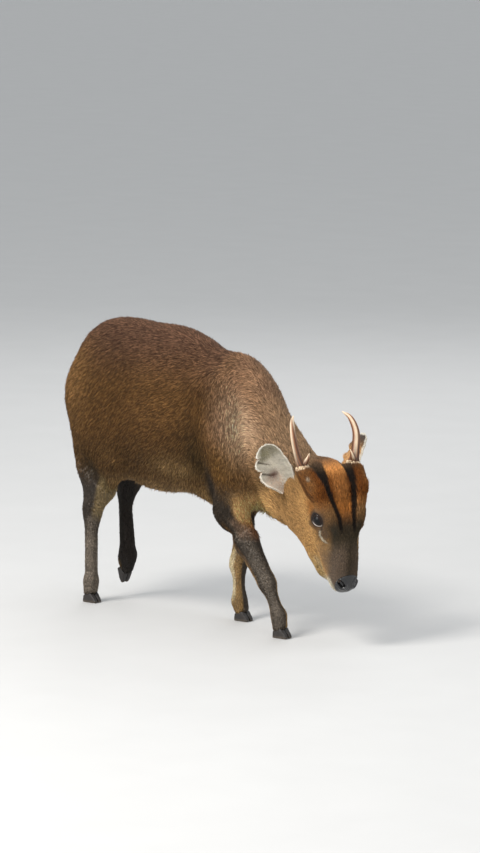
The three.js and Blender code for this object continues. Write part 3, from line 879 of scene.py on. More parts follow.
def eye_frame(side: int) -> Matrix:
    """Returns the frame of an eye, with z out along its gaze and x along its slit, in metres.

    Args:
        side: The eye's side.

    Returns:
        The frame's matrix.
    """
    gaze = Vector((0.28, side * 0.86, 0.4)).normalized()
    slit = Vector((1, side * -0.45, 0.1))
    slit = (slit - gaze * slit.dot(gaze)).normalized()
    turn = Matrix((slit, gaze.cross(slit), gaze)).transposed().to_4x4()
    centre = Vector(EYE_CENTRE * [1, side, 1]) * MM
    return HEAD @ Matrix.Translation(centre) @ turn


def lid_angle(turn: np.ndarray, side: int) -> np.ndarray:
    """Gives the angle from the gaze at which the lids' edge lies.

    Args:
        turn: The turns about the gaze, from the front corner of the eye.
        side: The eye's side.

    Returns:
        The angle at each turn.
    """
    up = -side * np.sin(turn)
    height = np.where(up > 0, UPPER_LID, LOWER_LID)
    power = 1.75
    reach = (np.abs(np.cos(turn) / EYE_SLIT) ** power + np.abs(up / height) ** power) ** (-1 / power)
    return np.arcsin(np.clip(reach / EYE_RADIUS, 0, 0.985))


def eye_polar(points: np.ndarray, side: int) -> tuple[np.ndarray, np.ndarray, np.ndarray]:
    """Measures points against an eye.

    Args:
        points: The points, in metres.
        side: The eye's side.

    Returns:
        Their places in the eye's frame in millimetres, their distance from its centre, and how far
        past the lids' edge each lies, in radians.
    """
    p = carried(points, eye_frame(side).inverted()) / MM
    distance = np.maximum(np.linalg.norm(p, axis=1), 1e-9)
    angle = np.arccos(np.clip(p[:, 2] / distance, -1, 1))
    return p, distance, angle - lid_angle(np.arctan2(p[:, 1], p[:, 0]), side)


@dataclass
class Skin:
    """One closed skin over all the flesh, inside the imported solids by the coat's depth.

    Attributes:
        voxel: The size of the first even mesh, in metres.
        swell: How far the solids are swollen to overlap, in millimetres.
        socket: How far the filling of an eye socket goes past the eyeball, in millimetres.
        rounds: How often the skin is smoothed.
        ease: The two steps of one smoothing, out and back.
        nose_heart: The place toward which the skin sinks under the nose pad.
        nose_size: The size of the sunk patch against the pad's outline.
        nose_sink: How far it sinks toward that place, 0 to 1.
        depths: How far the skin lies under the solids, in millimetres.
    """

    voxel: float = 0.0034
    swell: float = 0.5
    socket: float = 1.8
    rounds: int = 60
    ease: tuple[float, float] = (0.5, -0.53)
    nose_heart: Triple = (86.0, 0.0, -27.0)
    nose_size: float = 0.86
    nose_sink: float = 0.65
    depths: dict[str, float] = field(
        default_factory=lambda: {"trunk": 3.6, "neck": 3.4, "head": 1.1, "leg": 0.5, "tail": 2.6}
    )

    def build(self) -> bpy.types.Object:
        """Joins, remeshes and smooths the flesh and models the face.

        Returns:
            The skin's object, with no material yet.
        """
        self.nodes = self.node_tree()
        obj = from_bmesh("skin", self.joined())
        remesh = obj.modifiers.new("even", "REMESH")
        remesh.mode = "VOXEL"
        remesh.voxel_size = self.voxel
        apply_modifiers(obj)
        self.keep_largest(obj.data)
        self.soften(obj.data)
        self.sink(obj.data)
        self.shape_limbs(obj.data)
        self.refine_face(obj.data)
        self.model_face(obj.data)
        obj.data.shade_smooth()
        return obj

    def joined(self) -> bmesh.types.BMesh:
        """Copies the flesh nodes a little swollen, so that they overlap, and fills the eye sockets.

        Returns:
            All of them in one bmesh.
        """
        bm = bmesh.new()
        for name in FLESH + ["nose_pad"]:
            part = bmesh.new()
            part.from_mesh(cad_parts[name].data)
            bmesh.ops.remove_doubles(part, verts=part.verts, dist=1e-6)
            part.normal_update()
            for vert in part.verts:
                vert.co += vert.normal * (self.swell * MM)
            pour(part, bm)
        radius = (EYE_RADIUS + self.socket) * MM
        for side in SIDES.values():
            bmesh.ops.create_icosphere(bm, subdivisions=3, radius=radius, matrix=eye_frame(side))
        return bm

    def node_tree(self) -> tuple[BVHTree, np.ndarray]:
        """Builds a search tree over the flesh nodes.

        Returns:
            The tree, and the number of the node that each of its faces belongs to.
        """
        corners: list[tuple] = []
        faces: list[tuple] = []
        owners: list[int] = []
        for number, name in enumerate(FLESH):
            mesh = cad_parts[name].data
            start = len(corners)
            corners += [tuple(v.co) for v in mesh.vertices]
            faces += [tuple(start + i for i in p.vertices) for p in mesh.polygons]
            owners += [number] * len(mesh.polygons)
        return BVHTree.FromPolygons(corners, faces), np.array(owners)

    def owner(self, points: np.ndarray) -> np.ndarray:
        """Returns the number of the flesh node nearest to each point."""
        tree, owners = self.nodes
        return np.array([owners[tree.find_nearest(Vector(p))[2]] for p in points])

    def keep_largest(self, mesh: bpy.types.Mesh) -> None:
        """Drops any loose scrap that remeshing left.

        Args:
            mesh: The skin.
        """
        bm = bmesh.new()
        bm.from_mesh(mesh)
        bm.verts.ensure_lookup_table()
        seen = np.zeros(len(bm.verts), bool)
        islands: list[list] = []
        for start in bm.verts:
            if seen[start.index]:
                continue
            seen[start.index] = True
            island, ahead = [start], [start]
            while ahead:
                vert = ahead.pop()
                for edge in vert.link_edges:
                    other = edge.other_vert(vert)
                    if not seen[other.index]:
                        seen[other.index] = True
                        island.append(other)
                        ahead.append(other)
            islands.append(island)
        islands.sort(key=len)
        for island in islands[:-1]:
            bmesh.ops.delete(bm, geom=island, context="VERTS")
        bm.to_mesh(mesh)
        bm.free()

    def soften(self, mesh: bpy.types.Mesh) -> None:
        """Takes the facets off without thinning the legs.

        Args:
            mesh: The skin.
        """
        points, edges = positions(mesh), edge_ends(mesh)
        for _ in range(self.rounds):
            for share in self.ease:
                points = evened(points, edges, share)
        place(mesh, points)

    def sink(self, mesh: bpy.types.Mesh) -> None:
        """Moves the skin in by the coat's depth.

        Args:
            mesh: The skin.
        """
        points, edges = positions(mesh), edge_ends(mesh)
        owner = self.owner(points)
        depth = np.array([self.depth_of(FLESH[n]) for n in owner])[:, None]
        for _ in range(12):
            depth = evened(depth, edges, 0.6)
        place(mesh, points - point_normals(mesh) * depth * MM)

    def shape_limbs(self, mesh: bpy.types.Mesh) -> None:
        """Fills the elbow out and draws the far arm in, as soft pushes.

        Args:
            mesh: The skin.
        """
        points = positions(mesh)
        body = to_body(points)
        for push in PUSHES:
            far = np.linalg.norm((body - np.array(push.centre)) / np.array(push.reach), axis=1)
            points += np.exp(-(far**2))[:, None] * np.array(push.move) * MM
        place(mesh, points)

    def depth_of(self, node: str) -> float:
        """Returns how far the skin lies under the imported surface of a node, in millimetres.

        Args:
            node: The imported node.

        Returns:
            The depth.
        """
        if node in ("head", "neck", "tail"):
            return self.depths[node]
        return self.depths["leg" if "_" in node else "trunk"]

    def refine_face(self, mesh: bpy.types.Mesh) -> None:
        """Gives the head finer faces, finest round the eyes and nose.

        Args:
            mesh: The skin.
        """
        bm = bmesh.new()
        bm.from_mesh(mesh)
        for finest in (False, True):
            bm.verts.ensure_lookup_table()
            head = to_head(np.array([v.co for v in bm.verts]))
            x, y, z = head.T
            if finest:
                from_eye = np.linalg.norm(np.abs(head) - np.abs(LIDS_CENTRE), axis=1)
                inside = (from_eye < 27) & (x < 40) | (x > 66)
            else:
                inside = (x > -84) & (np.abs(y) < 75) & (z > -108) & (x < 130)
            edges = [e for e in bm.edges if inside[e.verts[0].index] and inside[e.verts[1].index]]
            bmesh.ops.subdivide_edges(bm, edges=edges, cuts=1, use_grid_fill=True, smooth=0.0)
            bm.verts.index_update()
        bmesh.ops.triangulate(bm, faces=[f for f in bm.faces if len(f.verts) > 4])
        bm.to_mesh(mesh)
        bm.free()
        points, edges = positions(mesh), edge_ends(mesh)
        head = to_head(points)
        inside = ramp(head[:, 0], -90, -76)[:, None] * (np.linalg.norm(head, axis=1) < 170)[:, None]
        for _ in range(5):
            for share in self.ease:
                points += inside * (evened(points, edges, share) - points)
        place(mesh, points)

    def strokes(self) -> list[Stroke]:
        """Returns the grooves and ridges of the face.

        Returns:
            The strokes on the left side, which the right side repeats.
        """
        return [
            Stroke(GLAND_SLIT, 1.6, -2.2),
            Stroke(GLAND_RIM, 1.7, 1.2),
            Stroke(MOUTH_LINE, 1.3, -1.1),
            Stroke(MOUTH_LINE + [0, 0.5, 3.4], 3.0, 0.5),
            Stroke(np.array([[-14, 15, 0], [8, 13, 0], [26, 10.5, -1]]), 1.3, -0.9),
            Stroke(np.array([[-30, 40, -8], [-16, 43, -13], [2, 38, -8]]), 4.0, 1.2),
        ]

    def model_face(self, mesh: bpy.types.Mesh) -> None:
        """Presses the face's lines into the skin and opens it over the eyes and nose.

        Args:
            mesh: The skin.
        """
        points, normals = positions(mesh), point_normals(mesh)
        head = to_head(points)
        mirrored = on_left(head)
        near = np.linalg.norm(head, axis=1) < 150
        for stroke in self.strokes():
            distance, where = along_line(mirrored, stroke.line)
            ends = np.clip(np.minimum(where, 1 - where) * 6, 0.15, 1)
            press = near * stroke.depth * ends * np.exp(-((distance / stroke.radius) ** 2))
            points += normals * press[:, None] * MM
        for side in SIDES.values():
            points = self.open_eye(points, side)
        place(mesh, points)
        self.muzzle = tree_of(mesh)
        place(mesh, self.open_nose(points))

    def open_eye(self, points: np.ndarray, side: int) -> np.ndarray:
        """Sinks the skin that lies within the lids behind the eyeball.

        Args:
            points: The skin's points, in metres.
            side: The eye's side.

        Returns:
            The new places.
        """
        p, distance, past = eye_polar(points, side)
        inside = (distance < EYE_RADIUS + 9) & (past < 0.12)
        target = p / distance[:, None] * (EYE_RADIUS - 3.2)
        p[inside] = target[inside]
        return np.where(inside[:, None], carried(p * MM, eye_frame(side)), points)

    def open_nose(self, points: np.ndarray) -> np.ndarray:
        """Sinks the skin that lies under the nose pad.

        Args:
            points: The skin's points, in metres.

        Returns:
            The new places.
        """
        head = to_head(points)
        inner = nose_share(head, self.nose_size)
        sunk = head + (np.array(self.nose_heart) - head) * self.nose_sink * inner[:, None]
        return np.where(inner[:, None] > 0, from_head(sunk), points)


def nose_share(head: np.ndarray, size: float = 1.0) -> np.ndarray:
    """Gives 1 inside the outline of the nose pad and 0 outside it, with a soft edge.

    Args:
        head: Points in the head's frame.
        size: The outline's size against the real one.

    Returns:
        The share at each point.
    """
    far = np.linalg.norm((head - PAD_CENTRE) / PAD_REACH, axis=1) / size
    return ramp(far, 1.04, 0.94)


# The coat


@dataclass(frozen=True)
class Lie:
    """How the hair of a region grows: its length and width in millimetres, lift and density."""

    length: float
    width: float
    lift: float
    cover: float
    finish: str
    slot: Slot
    dark_root: float = 0.45
    light_tip: float = 1.15
    ticking: float = 1.0
    bent: bool = False


LIES = {
    Region.RUMP: Lie(7.6, 1.35, 17, 3.2, "fur", Slot.BODY, 0.4, 1.2, 1.15),
    Region.FLANK: Lie(7.6, 1.35, 17, 3.2, "fur", Slot.BODY, 0.4, 1.2, 1.15),
    Region.SHOULDER: Lie(7.6, 1.35, 17, 3.2, "fur", Slot.BODY, 0.4, 1.2, 1.15),
    Region.NECK: Lie(7.8, 1.3, 15, 3.6, "fur", Slot.NECK, 0.5, 1.15, 0.7),
    Region.FACE: Lie(4.4, 0.8, 12, 3.4, "fur", Slot.FACE, 0.75, 1.15, 0.35),
    Region.TAIL: Lie(20.0, 2.0, 12, 5.0, "fur", Slot.BODY, 0.7, 1.15, 0.3, True),
    Region.HIND_LEGS: Lie(5.0, 0.95, 9, 3.6, "sleek", Slot.LEG, 0.7, 1.25, 0.9),
    Region.FORE_LEGS: Lie(5.0, 0.95, 9, 3.6, "sleek", Slot.LEG, 0.7, 1.25, 0.9),
}

# Which way the hair runs: chains of stations in the body's millimetres, from front to back or down
STREAMS = {
    "trunk": [[150, 0, 320], [0, 0, 320], [-150, 0, 320], [-225, 0, 300]],
    "neck": [[285, -16, 205], [215, -8, 250], [150, 0, 310]],
    "right thigh": [[-120, -58, 330], [-165, -50, 250], [-190, -42, 180]],
    "left thigh": [[-120, 58, 330], [-165, 50, 250], [-190, 42, 190]],
    "right shin": [[-187, -38, 150], [-194, -34, 34], [-194, -33, 8]],
    "left shin": [[-190, 38, 176], [-185, 36, 66], [-197, 35, 40]],
    "right arm": [[110, -56, 330], [128, -52, 230], [150, -46, 150]],
    "left arm": [[100, 56, 330], [92, 52, 230], [76, 44, 150]],
    "right forearm": [[150, -46, 150], [192, -36, 81], [213, -29, 8]],
    "left forearm": [[76, 44, 150], [61, 34, 84], [76, 26, 8]],
    "tail": [[-228, 0, 385], [-243, 0, 340], [-246, 0, 250]],
}
HEAD_STREAMS = (
    [[100, 0, -25], [40, 0, -8], [-20, 0, -4], [-90, 0, -30]],
    [[92, 16, -35], [30, 32, -40], [-20, 42, -45], [-70, 44, -70]],
    [[92, -16, -35], [30, -32, -40], [-20, -42, -45], [-70, -44, -70]],
    [[85, 0, -52], [20, 0, -90], [-60, 0, -100]],
)


class Flow:
    """The lie of the coat at any place."""

    def __init__(self) -> None:
        """Collects the streams as segments in the body's millimetres."""
        chains = [np.array(chain, float) for chain in STREAMS.values()]
        self.falls = [0.35 if name == "trunk" else 0.0 for name in STREAMS]
        for chain in HEAD_STREAMS:
            chains.append(to_body(from_head(np.array(chain, float))))
            self.falls.append(0.0)
        self.chains = chains

    def at(self, points: np.ndarray, normals: np.ndarray) -> np.ndarray:
        """Gives the direction along the skin in which the hair lies.

        Args:
            points: Places on the skin, in metres.
            normals: The outward direction at each.

        Returns:
            A direction along the skin for each, of length 1.
        """
        body = to_body(points)
        total = np.zeros_like(body)
        for chain, fall in zip(self.chains, self.falls):
            for a, b in zip(chain[:-1], chain[1:]):
                way = b - a
                t = np.clip((body - a) @ way / (way @ way), 0, 1)
                distance = np.linalg.norm(body - a - t[:, None] * way, axis=1)
                pull = way / np.linalg.norm(way) + np.array([0, 0, -fall])
                total += pull * ((distance + 4) ** -4 * 1e6)[:, None]
        total -= normals * np.sum(total * normals, axis=1, keepdims=True)
        return unit(total)


# The middle line of each leg, right and left: heights, and the places from tail to nose there
LEG_LINES = {
    Region.HIND_LEGS: (
        ([34, 148, 226], [-194, -187, -150]),
        ([66, 174, 236], [-185, -190, -150]),
    ),
    Region.FORE_LEGS: (
        ([33, 81, 170], [211, 192, 140]),
        ([30, 84, 170], [71, 61, 78]),
    ),
}


class Unwrap:
    """Lays the skin of a region out flat, from its own shape."""

    def __init__(self, region: Region, points: np.ndarray) -> None:
        """Measures the region.

        Args:
            region: The region.
            points: The roots of its tufts, in metres.
        """
        self.region = region
        raw = self.raw(points)
        self.low, self.high = raw.min(axis=0), raw.max(axis=0)

    def raw(self, points: np.ndarray) -> np.ndarray:
        """Unrolls points about the region's own axis.

        Args:
            points: Places in metres.

        Returns:
            Two measures for each, in units of its own.
        """
        body = to_body(points)
        x, y, z = body.T
        if self.region is Region.FACE:
            x, y, z = to_head(points).T
            return np.stack([x, np.arctan2(y, z + 45)], axis=1)
        if self.region in LEG_LINES:
            right, left = (np.interp(z, *line) for line in LEG_LINES[self.region])
            axis = np.where(y < 0, right, left)
            turn = np.arctan2(np.abs(y) - 36, x - axis)
            return np.stack([turn + np.where(y < 0, 0, 7.0), z], axis=1)
        if self.region is Region.TAIL:
            return np.stack([y, z + 400 * (x < -243)], axis=1)
        return np.stack([x, np.arctan2(y, z - 300)], axis=1)

    def at(self, points: np.ndarray) -> np.ndarray:
        """Gives each point's place on the flat layout, from 0 to 1 both ways."""
        return 0.01 + 0.98 * (self.raw(points) - self.low) / (self.high - self.low)


STRAIGHT_FACES = np.array([[0, 1, 3], [0, 3, 2], [1, 2, 3], [0, 2, 1]])
BENT_FACES = np.array(
    [[0, 2, 1], [0, 1, 4], [0, 4, 3], [0, 3, 5], [0, 5, 2]]
    + [[1, 2, 5], [1, 5, 4], [3, 4, 6], [3, 6, 5], [4, 5, 6]]
)
PATCH = 0.003
ROOT_DEPTH = 0.3


@dataclass
class Tufts:
    """Many tufts, one a row, with their sizes in the unit of their roots and their lift in radians.

    Attributes:
        roots: Where they grow.
        normals: The outward direction at each root.
        along: The direction in which each lies.
        length: Their lengths, in a column.
        width: Their widths, in a column.
        lift: How steeply they rise, in a column.
        depth: How far they are set into the skin.
    """

    roots: np.ndarray
    normals: np.ndarray
    along: np.ndarray
    length: np.ndarray
    width: np.ndarray
    lift: np.ndarray
    depth: float

    def way(self, share: float) -> np.ndarray:
        """Gives each tuft's direction when it rises by a share of its lift."""
        return self.along * np.cos(self.lift * share) + self.normals * np.sin(self.lift * share)

    def straight(self) -> np.ndarray:
        """Shapes four-cornered tufts that taper to a point.

        Returns:
            The corners of each tuft, in the order of STRAIGHT_FACES.
        """
        base = self.roots - self.normals * self.depth
        half = np.cross(self.normals, self.along) * self.width / 2
        top = self.roots + self.normals * self.width * 0.4
        tip = self.roots + self.way(1) * self.length
        return np.stack([base - half, base + half, top, tip], axis=1)

    def bent(self) -> np.ndarray:
        """Shapes tufts that rise and then lie down, with a waist of three corners.

        Returns:
            The corners of each tuft, in the order of BENT_FACES.
        """
        base = self.roots - self.normals * self.depth
        wide = np.cross(self.normals, self.along) * self.width
        thick = self.normals * self.width
        middle = self.roots + self.way(1.6) * self.length * 0.45
        corners = [
            base - wide * 0.4,
            base + wide * 0.4,
            self.roots + thick * 0.35,
            middle - wide * 0.5 - thick * 0.15,
            middle + wide * 0.5 - thick * 0.15,
            middle + thick * 0.2,
            middle + self.way(0.4) * self.length * 0.55,
        ]
        return np.stack(corners, axis=1)


def tuft_mesh(
    name: str, corners: np.ndarray, faces: np.ndarray, colours: np.ndarray, spots: np.ndarray
) -> bpy.types.Object:
    """Makes one mesh of many tufts.

    Args:
        name: The piece's name.
        corners: The corners of each tuft, in metres.
        faces: One tuft's triangles.
        colours: The colour of each corner.
        spots: The place of each root on the flat layout.

    Returns:
        The object.
    """
    count, each = corners.shape[:2]
    index = (faces[None] + (np.arange(count) * each)[:, None, None]).reshape(-1)
    mesh = bpy.data.meshes.new(name)
    mesh.vertices.add(count * each)
    mesh.vertices.foreach_set("co", corners.astype(np.float32).ravel())
    mesh.loops.add(len(index))
    mesh.loops.foreach_set("vertex_index", index.astype(np.int32))
    mesh.polygons.add(len(index) // 3)
    mesh.polygons.foreach_set("loop_start", np.arange(0, len(index), 3, dtype=np.int32))
    mesh.update(calc_edges=True)
    mesh.shade_smooth()
    paint(mesh, colours.reshape(-1, 3))
    turn = np.arange(each) * (2 * math.pi / each)
    patch = np.stack([np.cos(turn), np.sin(turn)], axis=1) * PATCH / 2
    flat = (spots[:, None, :] + patch[None]).reshape(-1, 2)[index]
    layer = mesh.uv_layers.new(name="OFBake")
    layer.data.foreach_set("uv", flat.astype(np.float32).ravel())
    return as_object(name, mesh)


@dataclass
class Coat:
    """The hair of every region: thin closed tufts that overlap along the lie of the coat."""

    skin: bpy.types.Object
    owner: np.ndarray
    markings: Markings
    flow: Flow
    materials: dict[str, bpy.types.Material]
    most: int = 47000
    swing: float = 0.16
    unevenness: float = 0.22
    pale: float = 0.38

    def build(self) -> list[bpy.types.Object]:
        """Grows the coat of each region on the skin.

        Returns:
            The coat's pieces.
        """
        mesh = self.skin.data
        mesh.calc_loop_triangles()
        self.triangles = read(mesh.loop_triangles, "vertices", 3, np.int32)
        self.points, self.normals = positions(mesh), point_normals(mesh)
        a, b, c = (self.points[self.triangles[:, i]] for i in range(3))
        self.areas = np.linalg.norm(np.cross(b - a, c - a), axis=1) / 2 / MM**2
        self.random = np.random.default_rng(SEED)
        self.owner = self.mingled(self.owner, edge_ends(mesh))
        return [self.grow(region, lie) for region, lie in LIES.items()]

    def mingled(self, owner: np.ndarray, edges: np.ndarray, rounds: int = 7) -> np.ndarray:
        """Frays the borders between regions, so that their hair mingles there.

        Args:
            owner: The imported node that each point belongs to.
            edges: The two points of every edge.
            rounds: How many times each point takes over a neighbour's node.

        Returns:
            The frayed owners.
        """
        owner = owner.copy()
        both = np.concatenate([edges, edges[:, ::-1]])
        for _ in range(rounds):
            order = self.random.permutation(len(both))
            owner[both[order, 0]] = owner[both[order, 1]]
        return owner

    def grow(self, region: Region, lie: Lie) -> bpy.types.Object:
        """Grows one region's tufts.

        Args:
            region: The region.
            lie: How its hair grows.

        Returns:
            The piece.
        """
        roots, normals = self.scattered(region, lie)
        along = self.flow.at(roots, normals)
        swing = self.random.normal(0, self.swing, (len(roots), 1))
        along = unit(along + np.cross(normals, along) * swing)
        tufts = Tufts(roots, normals, along, *self.sizes(lie, roots, normals), ROOT_DEPTH * MM)
        colours = self.shades(lie, roots)
        corners = tufts.bent() if lie.bent else tufts.straight()
        faces = BENT_FACES if lie.bent else STRAIGHT_FACES
        spots = Unwrap(region, roots).at(roots)
        obj = tuft_mesh(f"coat_{region.name.lower()}", corners, faces, colours, spots)
        return settle(obj, self.materials[lie.finish], lie.slot)

    def scattered(self, region: Region, lie: Lie) -> tuple[np.ndarray, np.ndarray]:
        """Draws the roots of a region's tufts, evenly over its skin.

        Args:
            region: The region.
            lie: How its hair grows.

        Returns:
            The roots in metres, and the outward direction at each.
        """
        numbers = [FLESH.index(name) for name in region.value]
        mine = np.isin(self.owner[self.triangles[:, 0]], numbers)
        mine &= self.bare(self.points[self.triangles[:, 0]]) < 0.5
        picked, areas = self.triangles[mine], self.areas[mine]
        wanted = int(areas.sum() * lie.cover / (0.5 * lie.length * lie.width))
        count = min(wanted, self.most // (2 if lie.bent else 1))
        chosen = self.random.choice(len(picked), count, p=areas / areas.sum())
        share = self.random.random((count, 2))
        over = share.sum(axis=1) > 1
        share[over] = 1 - share[over]
        weights = np.column_stack([1 - share.sum(axis=1), share])[:, :, None]
        roots = (self.points[picked[chosen]] * weights).sum(axis=1)
        return roots, unit((self.normals[picked[chosen]] * weights).sum(axis=1))

    def shades(self, lie: Lie, roots: np.ndarray) -> np.ndarray:
        """Draws the tufts' colours, dark at the root and light or dark at the tip.

        Args:
            lie: How the hair grows.
            roots: The roots, in metres.

        Returns:
            The linear colour of each corner of each tuft.
        """
        colour = self.markings.at(roots)
        tone = np.exp(self.random.normal(0, self.unevenness, (len(roots), 1)))
        pale = self.random.random((len(roots), 1)) < self.pale
        banded = np.where(pale, 1 + 0.75 * lie.ticking, 1 - 0.38 * lie.ticking)
        root = colour * lie.dark_root * tone
        waist = [colour * tone] * 3 if lie.bent else []
        tip = colour * lie.light_tip * banded * tone
        return np.stack([root] * 3 + waist + [tip], axis=1)

    def bare(self, points: np.ndarray) -> np.ndarray:
        """Gives 1 where no hair grows: inside the lids and on the nose pad.

        Args:
            points: Places on the skin, in metres.

        Returns:
            The share at each.
        """
        out = nose_share(to_head(points), 1.0)
        for side in SIDES.values():
            _, distance, past = eye_polar(points, side)
            out = np.maximum(out, (distance < EYE_RADIUS + 7) & (past < 0.34))
        return out

    def sizes(self, lie: Lie, roots: np.ndarray, normals: np.ndarray) -> tuple[np.ndarray, ...]:
        """Draws each tuft's length, width and lift.

        Args:
            lie: How the hair grows.
            roots: The roots, in metres.
            normals: The outward direction at each root.

        Returns:
            The length and width in metres and the lift in radians, each in a column.
        """
        count = len(roots)
        x, y, z = to_body(roots).T
        longer = np.ones(count)
        side = np.abs(y)
        below = ramp(-normals[:, 2], 0.1, 0.7)
        if lie.slot is Slot.BODY and not lie.bent:
            longer += 0.5 * below * ramp(z, 236, 215) * ramp(side, 46, 30)
            limb = ramp(z, 258, 216) * ramp(side, 22, 36) * np.maximum(ramp(x, 40, 66), ramp(x, -120, -150))
            longer *= 1 - 0.5 * limb
        if lie.slot is not Slot.LEG:
            longer += 0.7 * ramp(x, 128, 160) * ramp(z, 258, 225) * ramp(side, 40, 26)
        if lie.slot is Slot.FACE:
            head = to_head(roots)
            longer *= 0.62 + 0.75 * ramp(head[:, 0], 30, -70)
            around = np.linalg.norm(on_left(head) - LIDS_CENTRE, axis=1)
            longer *= 0.55 + 0.45 * ramp(around, 16, 26)
            longer *= 0.6 + 0.4 * ramp(head[:, 0], 88, 60)
        if lie.slot is Slot.LEG:
            longer *= 0.7 + 0.5 * ramp(z, 60, 190)
            longer += 0.5 * ramp(z, 24, 14)
        draw = self.random.normal(0, 0.18, (count, 2))
        length = lie.length * longer * np.exp(draw[:, 0]) * MM
        width = lie.width * np.sqrt(longer) * np.exp(draw[:, 1]) * MM
        lift = np.radians(lie.lift + self.random.normal(0, 5, count))
        return length[:, None], width[:, None], np.maximum(lift, 0.03)[:, None]


# Eyes, lids and nose


def swept(bm: bmesh.types.BMesh, rings: list[np.ndarray], closed: bool = True) -> None:
    """Draws a tube through rings of points, extruding each ring from the last.

    Args:
        bm: The bmesh to draw in.
        rings: The rings, each with the same number of points, in metres.
        closed: Whether the two ends are capped.
    """
    around = len(rings[0])
    made = bmesh.ops.create_circle(bm, cap_ends=closed, segments=around, radius=1)
    loop = made["verts"][:around]
    for vert, spot in zip(loop, rings[0]):
        vert.co = spot
    edges = [bm.edges.get((loop[i], loop[(i + 1) % around])) for i in range(around)]
    for ring in rings[1:]:
        grown = bmesh.ops.extrude_edge_only(bm, edges=edges)
        verts = {v for v in grown["geom"] if isinstance(v, bmesh.types.BMVert)}
        ordered = []
        for vert in loop:
            ordered.append(next(e.other_vert(vert) for e in vert.link_edges if e.other_vert(vert) in verts))
        loop = ordered
        for vert, spot in zip(loop, ring):
            vert.co = spot
        edges = [bm.edges.get((loop[i], loop[(i + 1) % around])) for i in range(around)]
    if closed:
        bmesh.ops.contextual_create(bm, geom=loop)
    bmesh.ops.recalc_face_normals(bm, faces=bm.faces)


@dataclass
class Eyes:
    """Both eyeballs with their lids, whose rings are set by angle past the edge and rise over the ball."""

    materials: dict[str, bpy.types.Material]
    around: int = 72
    profile: tuple[tuple[float, float], ...] = (
        (-0.07, -0.9), (-0.01, 0.3), (0.02, 0.95), (0.09, 1.45), (0.15, 1.9),
        (0.25, 2.1), (0.36, 1.5), (0.47, 0.5), (0.58, -1.2),
    )  # fmt: skip
    # The lid ring at this rise carries a painted wet highlight along the lower front
    glint_rise: float = 0.95
    white: Colour = (20, 12, 8)
    iris: Colour = (30, 17, 10)
    pupil: Colour = (8, 7, 8)
    lid: Colour = (30, 21, 16)
    # Painted wet highlight along the lower lid
    rim: Colour = (206, 194, 184)

    def build(self) -> None:
        """Makes the eyeballs and the lids."""
        for word, side in SIDES.items():
            self.ball(word, side)
            self.lids(word, side)

    def ball(self, word: str, side: int) -> None:
        """Makes an eyeball with a slight bulge over its iris.

        Args:
            word: Which eye, right or left.
            side: Its side.
        """
        bm = bmesh.new()
        bmesh.ops.create_uvsphere(bm, u_segments=48, v_segments=36, radius=EYE_RADIUS * MM)
        seen = []
        for vert in bm.verts:
            away = math.acos(max(-1.0, min(1.0, vert.co.z / (EYE_RADIUS * MM))))
            vert.co *= 1 + 0.04 * math.exp(-((away / 0.55) ** 2))
            seen.append((away, vert.co.x / MM, vert.co.y / MM))
        bmesh.ops.transform(bm, matrix=eye_frame(side), verts=bm.verts)
        obj = from_bmesh(f"{word}_eyeball", bm)
        away, x, y = np.array(seen).T
        colour = tinted(plain(self.white, len(away)), self.iris, ramp(away, 0.86, 0.78))
        pupil = ramp(np.sqrt((x / 6.6) ** 2 + (y / 4.6) ** 2), 1.06, 0.94)
        paint(obj.data, tinted(colour, self.pupil, pupil))
        settle(obj, self.materials["eye"], Slot.EYE, f"eye_{word}")

    def lids(self, word: str, side: int) -> None:
        """Makes the lids as one rim swept round the opening, with a painted wet highlight along the lower
        edge.

        Args:
            word: Which eye, right or left.
            side: Its side.
        """
        turn = np.linspace(0, 2 * math.pi, self.around, endpoint=False)
        edge = lid_angle(turn, side)
        upper = ramp(-side * np.sin(turn), -0.2, 0.5)
        corner = ramp(np.cos(turn), 0.86, 1.0)
        front = ramp(np.cos(turn), -0.5, 0.4)
        rings, colours = [], []
        for out, rise in self.profile:
            angle = edge + out
            radius = EYE_RADIUS + rise + (0.7 * upper if rise > 1 else 0) - 0.4 * corner
            spot = np.stack(
                [np.sin(angle) * np.cos(turn), np.sin(angle) * np.sin(turn), np.cos(angle)], axis=1
            )
            rings.append(spot * radius[:, None] * MM)
            # Painted wet highlight along the lower front of the lid
            glint = (0.95 if rise == self.glint_rise else 0.0) * (1 - upper) * front
            colours.append(tinted(plain(self.lid, self.around), self.rim, glint))
        bm = bmesh.new()
        swept(bm, rings, closed=False)
        bmesh.ops.transform(bm, matrix=eye_frame(side), verts=bm.verts)
        obj = from_bmesh(f"{word}_eyelids", bm)
        paint(obj.data, np.concatenate(colours))
        wall = obj.modifiers.new("thickness", "SOLIDIFY")
        wall.thickness = 0.9 * MM
        wall.offset = -1
        apply_modifiers(obj)
        settle(obj, self.materials["lid"], Slot.FACE)


